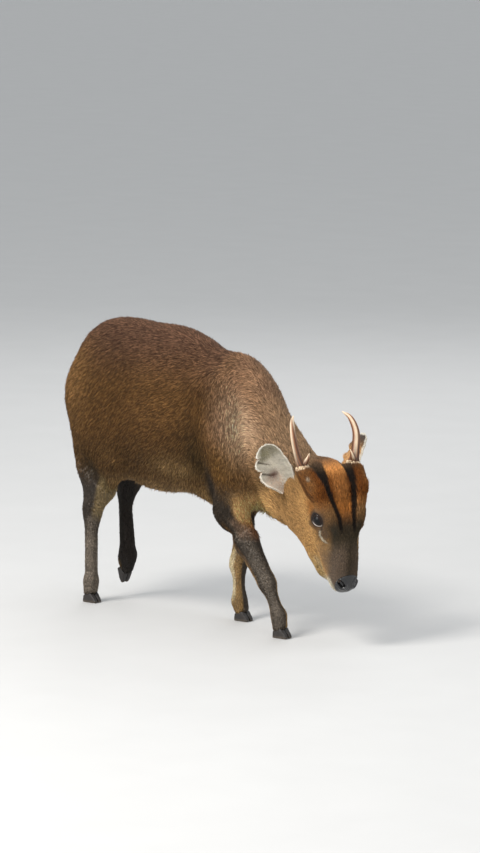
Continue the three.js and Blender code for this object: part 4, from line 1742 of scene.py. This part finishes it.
@dataclass
class Nose:
    """The bare nose pad with its nostrils, cast on the muzzle's skin from a place inside, its heart."""

    skin_tree: BVHTree
    materials: dict[str, bpy.types.Material]
    heart: Triple = (88.0, 0.0, -27.0)
    leather: Colour = (21, 21, 22)
    # Painted shade deep in the nostrils
    hollow_shade: Colour = (6, 5, 5)

    def build(self) -> None:
        """Casts the pad over the end of the muzzle and opens the nostrils."""
        bm = bmesh.new()
        bmesh.ops.create_icosphere(bm, subdivisions=6, radius=1)
        start = HEAD @ (Vector(self.heart) * MM)
        turn = HEAD.to_3x3()
        for vert in bm.verts:
            way = turn @ vert.co.normalized()
            hit = self.skin_tree.ray_cast(start, way)
            reach = hit[3] if hit[0] is not None else 0.012
            vert.co = start + way * min(reach, 0.03)
        obj = from_bmesh("nose", bm)
        points, edges = positions(obj.data), edge_ends(obj.data)
        for _ in range(30):
            points = evened(points, edges, 0.5)
        place(obj.data, points)
        normals = point_normals(obj.data)
        head = to_head(points)
        share = nose_share(head)
        distance, _ = along_line(on_left(head), NOSTRIL_LINE)
        rise = 1.6 * share - 2.2 * (1 - share)
        rim = 1.5 * np.exp(-(((distance - 5.2) / 1.5) ** 2)) * share
        hole = 5.5 * ramp(distance, 4.0, 1.8)
        middle = 0.9 * np.exp(-((head[:, 1] / 1.1) ** 2)) * ramp(head[:, 0], 96, 102) * share
        place(obj.data, points + normals * ((rise + rim - hole - middle) * MM)[:, None])
        # Darker inside the nostrils as painted shade
        colour = tinted(plain(self.leather, len(points)), self.hollow_shade, ramp(distance, 3.8, 2.4))
        paint(obj.data, colour)
        settle(obj, self.materials["nose"], Slot.NOSE, "nose_pad")


# Ears, antlers and hooves


@dataclass(frozen=True)
class EarPlace:
    """Where an ear grows and which way it turns, in the head's frame."""

    root: Triple
    tip: Triple
    opening: Triple

    def frame(self) -> Matrix:
        """Returns the ear's frame: x across, y from root to tip and z toward its opening.

        Returns:
            The frame's matrix.
        """
        along = (Vector(self.tip) - Vector(self.root)).normalized()
        facing = Vector(self.opening)
        facing = (facing - along * facing.dot(along)).normalized()
        turn = Matrix((along.cross(facing), along, facing)).transposed().to_4x4()
        return HEAD @ Matrix.Translation(Vector(self.root) * MM) @ turn


EAR_PLACES = {
    "right": EarPlace((-56, -50, -74), (-124, -80, -78), (0.07, -0.4, 0.9)),
    "left": EarPlace((-70, 45, -76), (-132, 88, -66), (0.4, 0.85, 0.05)),
}


@dataclass(frozen=True)
class EarTints:
    """The colours of an ear's skin, of the fur on its back and of the down inside, with painted shade in the
    canal, hollow and folds.
    """

    back: Colour = (194, 146, 92)
    back_tip: Colour = (70, 52, 38)
    back_rim: Colour = (222, 214, 200)
    inside: Colour = (180, 172, 156)
    inside_tip: Colour = (108, 101, 72)
    inside_root: Colour = (206, 172, 150)
    # Pinkish skin of the canal darkened by painted shade, then painted shade in the hollow by the root and
    # along the folds
    canal: Colour = (84, 52, 42)
    hollow_shade: Colour = (110, 76, 58)
    fold_shade: Colour = (70, 56, 42)
    rim: Colour = (236, 230, 216)
    fur: Colour = (200, 152, 98)
    fur_tip: Colour = (72, 54, 40)
    fur_rim: Colour = (232, 226, 212)
    down: Colour = (206, 199, 184)
    down_tip: Colour = (124, 116, 88)
    # Down over the canal, darkened by painted shade
    down_canal: Colour = (104, 68, 54)


@dataclass
class Ear:
    """A cupped ear with folds, a nicked outer edge, a canal darkened by painted shade and pale hairs inside.
    """

    materials: dict[str, bpy.types.Material]
    length: float = 75.0
    wall: float = 2.0
    across: int = 72
    along: int = 84
    step: float = 0.01
    down_hairs: int = 4200
    fur_hairs: int = 7000
    tints: EarTints = EarTints()
    folds: tuple[tuple[float, float], ...] = ((0.815, 0.24), (0.57, 0.22))
    outer_edge: tuple[tuple[float, float], ...] = (
        (0, 8), (0.08, 11), (0.16, 15.5), (0.3, 24), (0.42, 27), (0.52, 26), (0.565, 17.5), (0.6, 22),
        (0.68, 25.5), (0.75, 24), (0.79, 19), (0.81, 10), (0.835, 16), (0.87, 17), (0.92, 13.5), (0.96, 8.5),
        (0.985, 4.5), (1, 0.8),
    )  # fmt: skip
    inner_edge: tuple[tuple[float, float], ...] = (
        (0, 12), (0.08, 14.5), (0.17, 17), (0.37, 21.5), (0.54, 21.5), (0.78, 19.5), (0.9, 16),
        (0.95, 12.5), (0.98, 8), (1, 0.8),
    )  # fmt: skip

    def surface(self, s: np.ndarray, t: np.ndarray) -> np.ndarray:
        """Gives points of the ear's inner surface.

        Args:
            s: Place across, from -1 at the outer edge to 1 at the inner.
            t: Place along, from 0 at the root to 1 at the tip.

        Returns:
            The points in millimetres in the ear's own frame.
        """
        chord = np.where(s < 0, np.interp(t, *zip(*self.outer_edge)), np.interp(t, *zip(*self.inner_edge)))
        inside = np.abs(s) ** 3
        plain = np.where(s < 0, np.interp(t, [0, 0.4, 0.75, 1], [8, 26, 21, 1]), chord)
        chord = plain + inside * (chord - plain)
        curl = 1.75 + (0.4 - 1.75) * t**0.55
        radius = chord / np.sin(np.minimum(curl, 1.5))
        turn = curl * np.abs(s)
        x = np.sign(s) * radius * np.sin(turn) * np.where(curl > 1.5, np.sin(1.5) / np.sin(curl), 1)
        z = radius * (1 - np.cos(turn)) + 5 * t**2
        outer = np.clip(-s, 0, 1)
        for start, slope in self.folds:
            line = start - slope * (1 - outer)
            away = t - line
            z = z - 3.6 * outer**0.5 * np.exp(-((away / 0.02) ** 2))
            z = z + 2.0 * outer**0.7 * np.exp(-(((away + 0.08) / 0.055) ** 2))
        z = z + 0.35 * np.sin(t * 40 + s * 4) * np.clip(s, 0, 1)
        return np.stack([x, t * self.length, z], axis=-1)

    def build(self, word: str) -> None:
        """Makes one ear with its down.

        Args:
            word: Which ear, right or left.
        """
        side = SIDES[word]
        bm = bmesh.new()
        for _ in range(2):
            bmesh.ops.create_grid(bm, x_segments=self.across, y_segments=self.along, size=1)
        count = len(bm.verts) // 2
        flat = np.array([v.co[:2] for v in bm.verts])[:count]
        s, grid = flat[:, 0] * -side, (flat[:, 1] + 1) / 2
        t = 0.4 * grid + 0.6 * np.sin(grid * math.pi / 2)
        inner = self.surface(s, t)
        normal = self.normal(s, t)
        thin = 0.35 + 0.65 * ramp(np.maximum(np.abs(s), t), 1.0, 0.86)
        outer = inner - normal * self.wall * thin[:, None]
        both = np.concatenate([inner, outer])
        both[:, 0] *= -side
        for vert, spot in zip(bm.verts, both * MM):
            vert.co = spot
        bm.verts.ensure_lookup_table()
        rim = [e for e in bm.edges if e.is_boundary]
        bmesh.ops.bridge_loops(bm, edges=rim)
        bmesh.ops.recalc_face_normals(bm, faces=bm.faces)
        bmesh.ops.transform(bm, matrix=EAR_PLACES[word].frame(), verts=bm.verts)
        obj = from_bmesh(f"{word}_ear", bm)
        paint(obj.data, np.concatenate([self.colours(s, t), self.back_colours(s, t)]))
        settle(obj, self.materials["ear"], Slot.EAR, f"ear_{word}")
        self.down(word, side)

    def normal(self, s: np.ndarray, t: np.ndarray) -> np.ndarray:
        """Gives the direction out of the ear's inner surface, toward its opening.

        Args:
            s: Places across, -1 to 1.
            t: Places along, 0 to 1.

        Returns:
            One direction of length 1 a row.
        """
        along = self.surface(s, np.minimum(t + self.step, 1)) - self.surface(s, np.maximum(t - self.step, 0))
        return unit(np.cross(self.across_at(s, t), along))

    def across_at(self, s: np.ndarray, t: np.ndarray) -> np.ndarray:
        """Gives the way across the ear's inner surface, toward its inner edge."""
        return self.surface(np.minimum(s + self.step, 1), t) - self.surface(np.maximum(s - self.step, -1), t)

    def back_colours(self, s: np.ndarray, t: np.ndarray) -> np.ndarray:
        """Colours the back: tan, darker toward the tip, with a white rim.

        Args:
            s: Places across, -1 to 1.
            t: Places along, 0 to 1.

        Returns:
            The linear colours.
        """
        back = tinted(plain(self.tints.back, len(s)), self.tints.back_tip, ramp(t, 0.5, 0.85))
        rim = np.maximum(ramp(np.abs(s), 0.86, 0.98), ramp(t, 0.94, 0.99))
        return tinted(back, self.tints.back_rim, 0.8 * rim)

    def colours(self, s: np.ndarray, t: np.ndarray) -> np.ndarray:
        """Colours the inside: greenish grey toward the tip, pink by the root, with painted shade in the
        canal, the hollow and the folds.

        Args:
            s: Places across, -1 to 1.
            t: Places along, 0 to 1.

        Returns:
            The linear colours.
        """
        upper = ramp(t, 0.66, 0.8) * ramp(np.abs(s), 0.95, 0.5)
        colour = tinted(plain(self.tints.inside, len(s)), self.tints.inside_tip, 0.9 * upper)
        colour = tinted(colour, self.tints.inside_root, ramp(t, 0.5, 0.25) * 0.5)
        # Painted shade over the pinkish skin of the canal
        canal = np.exp(-(((t - 0.4) / 0.085) ** 2 + ((s + 0.22) / 0.34) ** 2))
        colour = tinted(colour, self.tints.canal, 0.92 * canal)
        # Painted shade in the hollow by the root
        deep = np.exp(-(((t - 0.12) / 0.1) ** 2 + (s / 0.5) ** 2))
        colour = tinted(colour, self.tints.hollow_shade, 0.5 * deep)
        outer = np.clip(-s, 0, 1)
        # Painted shade along the folds
        for start, slope in self.folds:
            line = start - slope * (1 - outer)
            fold_shade = np.clip(outer * 3, 0, 1) * np.exp(-(((t - line) / 0.014) ** 2))
            colour = tinted(colour, self.tints.fold_shade, 0.85 * fold_shade)
        rim = np.maximum(ramp(np.abs(s), 0.9, 0.97), ramp(t, 0.965, 0.99))
        return tinted(colour, self.tints.rim, 0.85 * rim)

    def down(self, word: str, side: int) -> None:
        """Grows long pale hairs over the inner edge, and short fur over the back and rim.

        Args:
            word: Which ear, right or left.
            side: Its side.
        """
        random = np.random.default_rng(SEED + side)
        inside = self.hairs(word, random, self.down_hairs, False)
        outside = self.hairs(word, random, self.fur_hairs, True)
        corners = np.concatenate([inside[0], outside[0]])
        colours = np.concatenate([inside[1], outside[1]])
        spots = np.concatenate([inside[2] * [0.48, 0.98], outside[2] * [0.48, 0.98] + [0.51, 0]]) + 0.005
        obj = tuft_mesh(f"{word}_ear_down", corners, STRAIGHT_FACES, colours, spots)
        settle(obj, self.materials["down"], Slot.EAR)

    def hairs(
        self, word: str, random: np.random.Generator, count: int, outside: bool
    ) -> tuple[np.ndarray, np.ndarray, np.ndarray]:
        """Draws the hairs of one face of the ear.

        Args:
            word: Which ear, right or left.
            random: Where the draws come from.
            count: How many hairs.
            outside: Whether they grow on the back.

        Returns:
            Each hair's corners, their colours and its root's place on the flat layout.
        """
        s = random.uniform(-0.99, 0.99, count)
        t = random.uniform(0.02, 0.985, count)
        if not outside:
            s = np.where(random.random(count) < 0.6, 1 - 0.8 * random.random(count) ** 1.4, s)
        here = self.surface(s, t)
        toward_tip = unit(self.surface(s, np.minimum(t + self.step, 1)) - self.surface(s, t - self.step))
        toward_edge = unit(self.across_at(s, t))
        normal = self.normal(s, t)
        if outside:
            here = here - normal * self.wall
            normal = -normal
            way = unit(toward_tip + toward_edge * 0.25 * s[:, None])
            length = 4.2 * np.exp(random.normal(0, 0.2, (count, 1)))
            lift = np.radians(9 + random.normal(0, 4, (count, 1)))
            colour = tinted(plain(self.tints.fur, count), self.tints.fur_tip, ramp(t, 0.5, 0.85))
            rim = np.maximum(ramp(np.abs(s), 0.8, 0.92), ramp(t, 0.9, 0.96))
            colour = tinted(colour, self.tints.fur_rim, 0.9 * rim)
            length *= 1 - 0.55 * np.maximum(ramp(np.abs(s), 0.7, 0.95), ramp(t, 0.85, 0.97))[:, None]
        else:
            inward = -np.sign(s)[:, None] * toward_edge
            way = unit(inward * (0.4 + 0.8 * np.abs(s))[:, None] + toward_tip * 0.55)
            length = (3.5 + 8.5 * np.clip(s, 0, 1) ** 2) * np.where(t > 0.8, 0.6, 1)
            length = length[:, None] * np.exp(random.normal(0, 0.25, (count, 1)))
            lift = np.radians(9 + random.normal(0, 5, (count, 1)))
            colour = tinted(plain(self.tints.down, count), self.tints.down_tip, ramp(t, 0.62, 0.8) * 0.7)
            # Painted shade on the down over the canal
            canal = np.exp(-(((t - 0.4) / 0.09) ** 2 + ((s + 0.2) / 0.36) ** 2))
            colour = tinted(colour, self.tints.down_canal, 0.88 * canal)
        width = (1.0 if outside else 0.42) * np.exp(random.normal(0, 0.2, (count, 1)))
        corners = Tufts(here, normal, way, length, width, lift, ROOT_DEPTH).straight()
        side = SIDES[word]
        corners[:, :, 0] *= -side
        if side == LEFT:
            corners = corners[:, [1, 0, 2, 3]]
        placed = carried(corners * MM, EAR_PLACES[word].frame())
        tone = np.exp(random.normal(0, 0.12, (count, 1)))
        colours = np.stack([colour * 0.8 * tone] * 3 + [colour * 1.12 * tone], axis=1)
        return placed, colours, np.stack([(s + 1) / 2, t], axis=1)


def smooth_path(points: list, count: int) -> np.ndarray:
    """Draws a smooth curve through stations.

    Args:
        points: The stations.
        count: How many points the curve has.

    Returns:
        The curve's points, one a row.
    """
    p = np.array(points, float)
    p = np.vstack([2 * p[0] - p[1], p, 2 * p[-1] - p[-2]])
    spans = len(points) - 1
    out = []
    for u in np.linspace(0, spans, count):
        i = min(int(u), spans - 1)
        t = u - i
        a, b, c, d = p[i : i + 4]
        out.append(
            0.5 * (2 * b + (c - a) * t + (2 * a - 5 * b + 4 * c - d) * t**2 + (3 * b - a - 3 * c + d) * t**3)
        )
    return np.array(out)


@dataclass(frozen=True)
class Rod:
    """One rod of an antler.

    Attributes:
        stations: The places that it runs through, in the head's frame in millimetres.
        radii: Its radii from foot to tip.
        around: How many points go round it.
        rings: How many rings it has.
        relief: How deep its grooves are against those of the beam.
        flatness: Its thickness across against its radius.
        bare_from: Where along it the pale tip is complete.
    """

    stations: list[list[float]]
    radii: tuple[float, ...]
    around: int
    rings: int
    relief: float = 1.0
    flatness: float = 0.8
    bare_from: float = 1.0


@dataclass
class Antler:
    """A short spike with a beaded burr, grooved brown flanks, a brow tine, a tip pale with polish, and an
    ivory edge of polish and painted highlight.
    """

    materials: dict[str, bpy.types.Material]
    radii: tuple[float, ...] = (8.2, 6.5, 5.7, 5.3, 4.9, 4.4, 3.6, 2.5, 0.6)
    tine_radii: tuple[float, ...] = (4.6, 3.4, 2.2, 0.6)
    brown: Colour = (62, 40, 26)
    amber: Colour = (138, 88, 56)
    ivory: Colour = (232, 212, 182)
    bead_dark: Colour = (120, 84, 56)
    bead_pale: Colour = (222, 200, 166)
    bows: dict[str, float] = field(default_factory=lambda: {"right": 4.5, "left": 0.5})
    # Which way each antler's ivory edge of polish and painted highlight faces, and where across it that edge
    # begins and is full
    polish_and_highlight: dict[str, tuple[float, float]] = field(
        default_factory=lambda: {"right": (-0.9, -0.3), "left": (-0.5, 0.85)}
    )
    edges: dict[str, tuple[float, float]] = field(
        default_factory=lambda: {"right": (0.2, 0.85), "left": (0.72, 1.0)}
    )

    def build(self, word: str) -> None:
        """Makes one antler with its tine and burr.

        Args:
            word: Which antler, right or left.
        """
        side = SIDES[word]
        bow = self.bows[word]
        beam = [
            [-80, side * 44.3, -32],
            [-102, side * (49 + 0.8 * bow), -28],
            [-128, side * (52.5 + bow), -25],
            [-150, side * (50 + 0.6 * bow), -30],
            [-162, side * 43, -39],
        ]
        tine = [[-88, side * 43.5, -27], [-96, side * 39, -22], [-103, side * 36, -21]]
        bm = bmesh.new()
        colours = [
            self.rod(bm, Rod(beam, self.radii, 36, 64), word),
            self.rod(bm, Rod(tine, self.tine_radii, 20, 22, 0.6, 0.96, 1.1), word),
            self.beads(bm, side),
        ]
        obj = from_bmesh(f"{word}_antler", bm)
        paint(obj.data, np.concatenate(colours))
        settle(obj, self.materials["antler"], Slot.ANTLER, f"antler_{word}", f"tine_{word}")

    def rod(self, bm: bmesh.types.BMesh, rod: Rod, word: str) -> np.ndarray:
        """Sweeps a grooved rod along a curve.

        Args:
            bm: The bmesh that takes it up.
            rod: Its sizes.
            word: Which antler, right or left.

        Returns:
            The colour of each new point.
        """
        path = smooth_path(rod.stations, rod.rings)
        tangents = unit(np.gradient(path, axis=0))
        guide = np.array([0.0, 0.85 * SIDES[word], 0.52])
        polish = np.array([0.0, *self.polish_and_highlight[word]])
        turn = np.linspace(0, 2 * math.pi, rod.around, endpoint=False)
        share = np.linspace(0, 1, rod.rings)
        sizes = np.interp(share, np.linspace(0, 1, len(rod.radii)), rod.radii)
        drawn, colours = [], []
        for spot, way, size, t in zip(path, tangents, sizes, share):
            forward = unit(guide - way * (guide @ way))
            outward = np.cross(way, forward)
            fade = (1 - t) ** 0.8 * rod.relief
            groove = np.cos(7 * turn + 1.3 + 2 * t) + 0.6 * np.cos(11 * turn + 4 * t + 0.4)
            knobs = 0.05 * np.sin(9 * turn + 40 * t) * ramp(np.array([t]), 0.3, 0.05)[0]
            radius = size * (1 + 0.055 * fade * groove + knobs)
            wide = np.cos(turn)[:, None] * forward * 1.08
            ring = spot + radius[:, None] * (wide + np.sin(turn)[:, None] * outward * rod.flatness)
            drawn.append(from_head(ring))
            # How far each point faces the side with polish and painted highlight
            facing = unit(ring - spot) @ unit(polish - way * (polish @ way))
            edge = ramp(facing, *self.edges[word])
            colours.append(self.shade(t, facing, edge, groove, rod.bare_from))
        own = bmesh.new()
        swept(own, drawn)
        pour(own, bm)
        return np.concatenate(colours)

    def shade(
        self, t: float, facing: np.ndarray, edge: np.ndarray, groove: np.ndarray, bare_from: float
    ) -> np.ndarray:
        """Colours one ring: dark brown in the grooves, ivory at the tip, and ivory along one edge as polish
        and painted highlight.

        Args:
            t: How far along the rod the ring lies, 0 to 1.
            facing: How far each point faces the side with polish and painted highlight, -1 to 1.
            edge: How far each point lies on the edge of polish and painted highlight, 0 to 1.
            groove: The height of the grooves at each point.
            bare_from: Where along the rod its pale tip is complete.

        Returns:
            The colour of each point.
        """
        high = np.full(len(facing), t)
        tipward = ramp(high - 0.2 * facing, 0.6, bare_from)
        # Pale at the tip with polish, and along the edge with polish and a painted highlight
        pale = np.clip(np.maximum(tipward, 0.7 * edge * ramp(high, 0.05, 0.4)), 0, 1)
        colour = tinted(plain(self.brown, len(high)), self.amber, ramp(groove + 1.4 * high, -0.7, 1.6))
        colour = tinted(colour, self.brown, ramp(high, 0.2, 0.0) * 0.5)
        return tinted(colour, self.ivory, pale)

    def beads(self, bm: bmesh.types.BMesh, side: int) -> np.ndarray:
        """Sets a ring of uneven beads round the antler's foot.

        Args:
            bm: The bmesh that takes them up.
            side: The antler's side.

        Returns:
            The colour of each new point.
        """
        random = np.random.default_rng(SEED + 3 * side)
        seat = np.array([-81.5, side * 44.5, -32.0])
        up = unit(np.array([-1.0, 0.2 * side, 0.1]))
        forward = unit(np.array([0.0, 0.0, 1.0]) - up * up[2])
        outward = np.cross(up, forward)
        colours = []
        count = 17
        for row, lift, reach in ((0, 1.2, 9.3), (1, 3.4, 8.3)):
            for i in range(count):
                turn = 2 * math.pi * (i + 0.5 * row) / count + random.normal(0, 0.06)
                size = 2.1 * math.exp(random.normal(0, 0.16)) * (1 - 0.15 * row)
                spot = seat + up * (lift + random.normal(0, 0.3))
                spot = spot + reach * (math.cos(turn) * forward + math.sin(turn) * outward)
                place_at = Matrix.Translation(Vector(from_head(spot[None])[0]))
                made = bmesh.ops.create_icosphere(bm, subdivisions=2, radius=size * MM, matrix=place_at)
                pale = random.uniform(0.1, 0.9)
                tone = linear(self.bead_dark) * (1 - pale) + linear(self.bead_pale) * pale
                colours.append(np.tile(tone, (len(made["verts"]), 1)))
        return np.concatenate(colours)


@dataclass
class Hooves:
    """The claws of all four feet, rounded, with growth rings."""

    materials: dict[str, bpy.types.Material]
    toe_limit: float = -0.236
    toe_share: float = 0.3
    horn: Colour = (36, 31, 28)
    worn: Colour = (96, 84, 70)

    def build(self) -> None:
        """Rounds a copy of each packed claw and dresses it."""
        for foot in ("hind_right", "hind_left", "fore_right", "fore_left"):
            for side in SIDES:
                self.claw(f"{foot}_claw_{side}")

    def claw(self, node: str) -> None:
        """Rounds one claw.

        Args:
            node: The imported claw.
        """
        bm = bmesh.new()
        bm.from_mesh(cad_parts[node].data)
        bmesh.ops.remove_doubles(bm, verts=bm.verts, dist=1e-6)
        bmesh.ops.dissolve_limit(bm, angle_limit=math.radians(4), verts=bm.verts, edges=bm.edges)
        sharp = [e for e in bm.edges if e.is_manifold and e.calc_face_angle() > math.radians(25)]
        bmesh.ops.bevel(
            bm,
            geom=sharp,
            offset=1.5 * MM,
            segments=3,
            profile=0.5,
            affect="EDGES",
            material=-1,
            clamp_overlap=True,
        )
        bmesh.ops.triangulate(bm, faces=bm.faces)
        long_edges = [e for e in bm.edges if e.calc_length() > 2.2 * MM]
        bmesh.ops.subdivide_edges(bm, edges=long_edges, cuts=3)
        bmesh.ops.triangulate(bm, faces=bm.faces)
        low = min(v.co.z for v in bm.verts)
        obj = from_bmesh(f"{node}_horn", bm)
        points = positions(obj.data)
        # The lifted foot's claws are drawn in behind
        if node.startswith("hind_left"):
            past = np.minimum(points[:, 0] - self.toe_limit, 0)
            points[:, 0] -= (1 - self.toe_share) * past
            place(obj.data, points)
        normals = point_normals(obj.data)
        rise = (points[:, 2] - low) / MM
        rings = 0.16 * np.sin(rise * 2.4 + 3 * np.sin(points[:, 0] * 90))
        sides = np.abs(normals[:, 2]) < 0.7
        place(obj.data, points + normals * (rings * sides * MM)[:, None] * ramp(rise, 0.8, 2.5)[:, None])
        colour = tinted(plain(self.horn, len(points)), self.worn, ramp(rise, 3.5, 0.5) * 0.6)
        paint(obj.data, colour)
        settle(obj, self.materials["hoof"], Slot.HOOF, node)


# Studio


@dataclass(frozen=True)
class Lamp:
    """A soft rectangular light, aimed at the animal."""

    name: str
    place: Triple
    size: float
    watts: float
    colour: Triple = (1.0, 1.0, 1.0)
    gloss: float = 1.0


@dataclass
class Studio:
    """The pale floor, the soft lights and the camera."""

    azimuth: float = 45.0
    elevation: float = 8.5
    distance: float = 6.6
    metres_per_pixel: float = 0.00152
    picture_height: int = 853
    aim: Triple = (0.0084, 0.0424, 0.2926)
    lamps_aim: Triple = (0.02, 0.0, 0.25)
    room_light: tuple[float, ...] = (0.92, 0.95, 0.97, 1.0)
    room_strength: float = 0.78
    lamps: tuple[Lamp, ...] = (
        Lamp("key", (-0.35, -2.1, 2.9), 1.1, 92.0, (1.0, 0.96, 0.9)),
        Lamp("top", (0.2, 0.3, 3.2), 2.4, 20.0, (0.98, 0.99, 1.0), 0.3),
        Lamp("fill", (2.6, -1.6, 1.4), 2.0, 16.0, (1.0, 0.98, 0.95), 0.2),
        Lamp("low", (0.1, -2.6, 0.85), 1.6, 30.0, (1.0, 0.98, 0.95), 0.3),
        Lamp("back", (-1.6, 2.2, 2.0), 1.6, 16.0, (1.0, 1.0, 1.0), 0.4),
    )

    def build(self) -> None:
        """Sets up the floor, the lights, the world and the camera."""
        self.floor()
        for lamp in self.lamps:
            self.light(lamp)
        self.world()
        self.camera()

    def floor(self) -> None:
        """Lays the floor."""
        bm = bmesh.new()
        bmesh.ops.create_grid(bm, x_segments=2, y_segments=2, size=200)
        bmesh.ops.translate(bm, verts=bm.verts, vec=(0, 0, -0.0003))
        floor = from_bmesh("floor", bm)
        material = bpy.data.materials.new("pale_floor")
        material.use_nodes = True
        tree = material.node_tree
        shader = tree.nodes["Principled BSDF"]
        shader.inputs["Roughness"].default_value = 0.85
        noise = tree.nodes.new("ShaderNodeTexNoise")
        noise.inputs["Scale"].default_value = 9
        spread = tree.nodes.new("ShaderNodeMapRange")
        spread.inputs["To Min"].default_value = 0.50
        spread.inputs["To Max"].default_value = 0.53
        where = tree.nodes.new("ShaderNodeTexCoord")
        tree.links.new(where.outputs["Object"], noise.inputs["Vector"])
        tree.links.new(noise.outputs["Fac"], spread.inputs["Value"])
        tree.links.new(spread.outputs["Result"], shader.inputs["Base Color"])
        floor.data.materials.append(material)

    def light(self, lamp: Lamp) -> None:
        """Hangs one lamp.

        Args:
            lamp: The lamp.
        """
        data = bpy.data.lights.new(lamp.name, "AREA")
        data.energy = lamp.watts
        data.size = lamp.size
        data.color = lamp.colour
        data.specular_factor = lamp.gloss
        obj = bpy.data.objects.new(lamp.name, data)
        bpy.context.scene.collection.objects.link(obj)
        obj.location = lamp.place
        way = Vector(self.lamps_aim) - Vector(lamp.place)
        obj.rotation_euler = way.to_track_quat("-Z", "Y").to_euler()

    def world(self) -> None:
        """Fills the room with soft pale light."""
        world = bpy.data.worlds.new("room")
        world.use_nodes = True
        background = world.node_tree.nodes["Background"]
        background.inputs["Color"].default_value = self.room_light
        background.inputs["Strength"].default_value = self.room_strength
        bpy.context.scene.world = world

    def camera(self) -> None:
        """Puts the camera where the photograph was taken from."""
        data = bpy.data.cameras.new("camera")
        data.sensor_width = 36
        data.lens = self.distance / self.metres_per_pixel / self.picture_height * data.sensor_width
        data.clip_end = 200
        camera = bpy.data.objects.new("camera", data)
        bpy.context.scene.collection.objects.link(camera)
        a, e = math.radians(self.azimuth), math.radians(self.elevation)
        back = Vector((math.sin(a) * math.cos(e), -math.cos(a) * math.cos(e), math.sin(e)))
        camera.location = Vector(self.aim) + back * self.distance
        camera.rotation_euler = (-back).to_track_quat("-Z", "Y").to_euler()
        bpy.context.scene.camera = camera
        bpy.context.scene.view_settings.view_transform = "Standard"


def build() -> None:
    """Builds every piece in order and dresses it."""
    logging.basicConfig(level=logging.INFO, format="%(message)s")
    grain = grain_group()
    materials = {name: finish.make(grain) for name, finish in FINISHES.items()}
    Studio().build()
    markings = Markings(Palette())
    maker = Skin()
    skin = maker.build()
    points = positions(skin.data)
    paint(skin.data, markings.at(points) * 0.5)
    settle(skin, materials["skin"], Slot.BODY, *FLESH)
    Coat(skin, maker.owner(points), markings, Flow(), materials).build()
    Eyes(materials).build()
    Nose(maker.muzzle, materials).build()
    for word in SIDES:
        Ear(materials).build(word)
        Antler(materials).build(word)
    Hooves(materials).build()


if __name__ == "__main__":
    build()
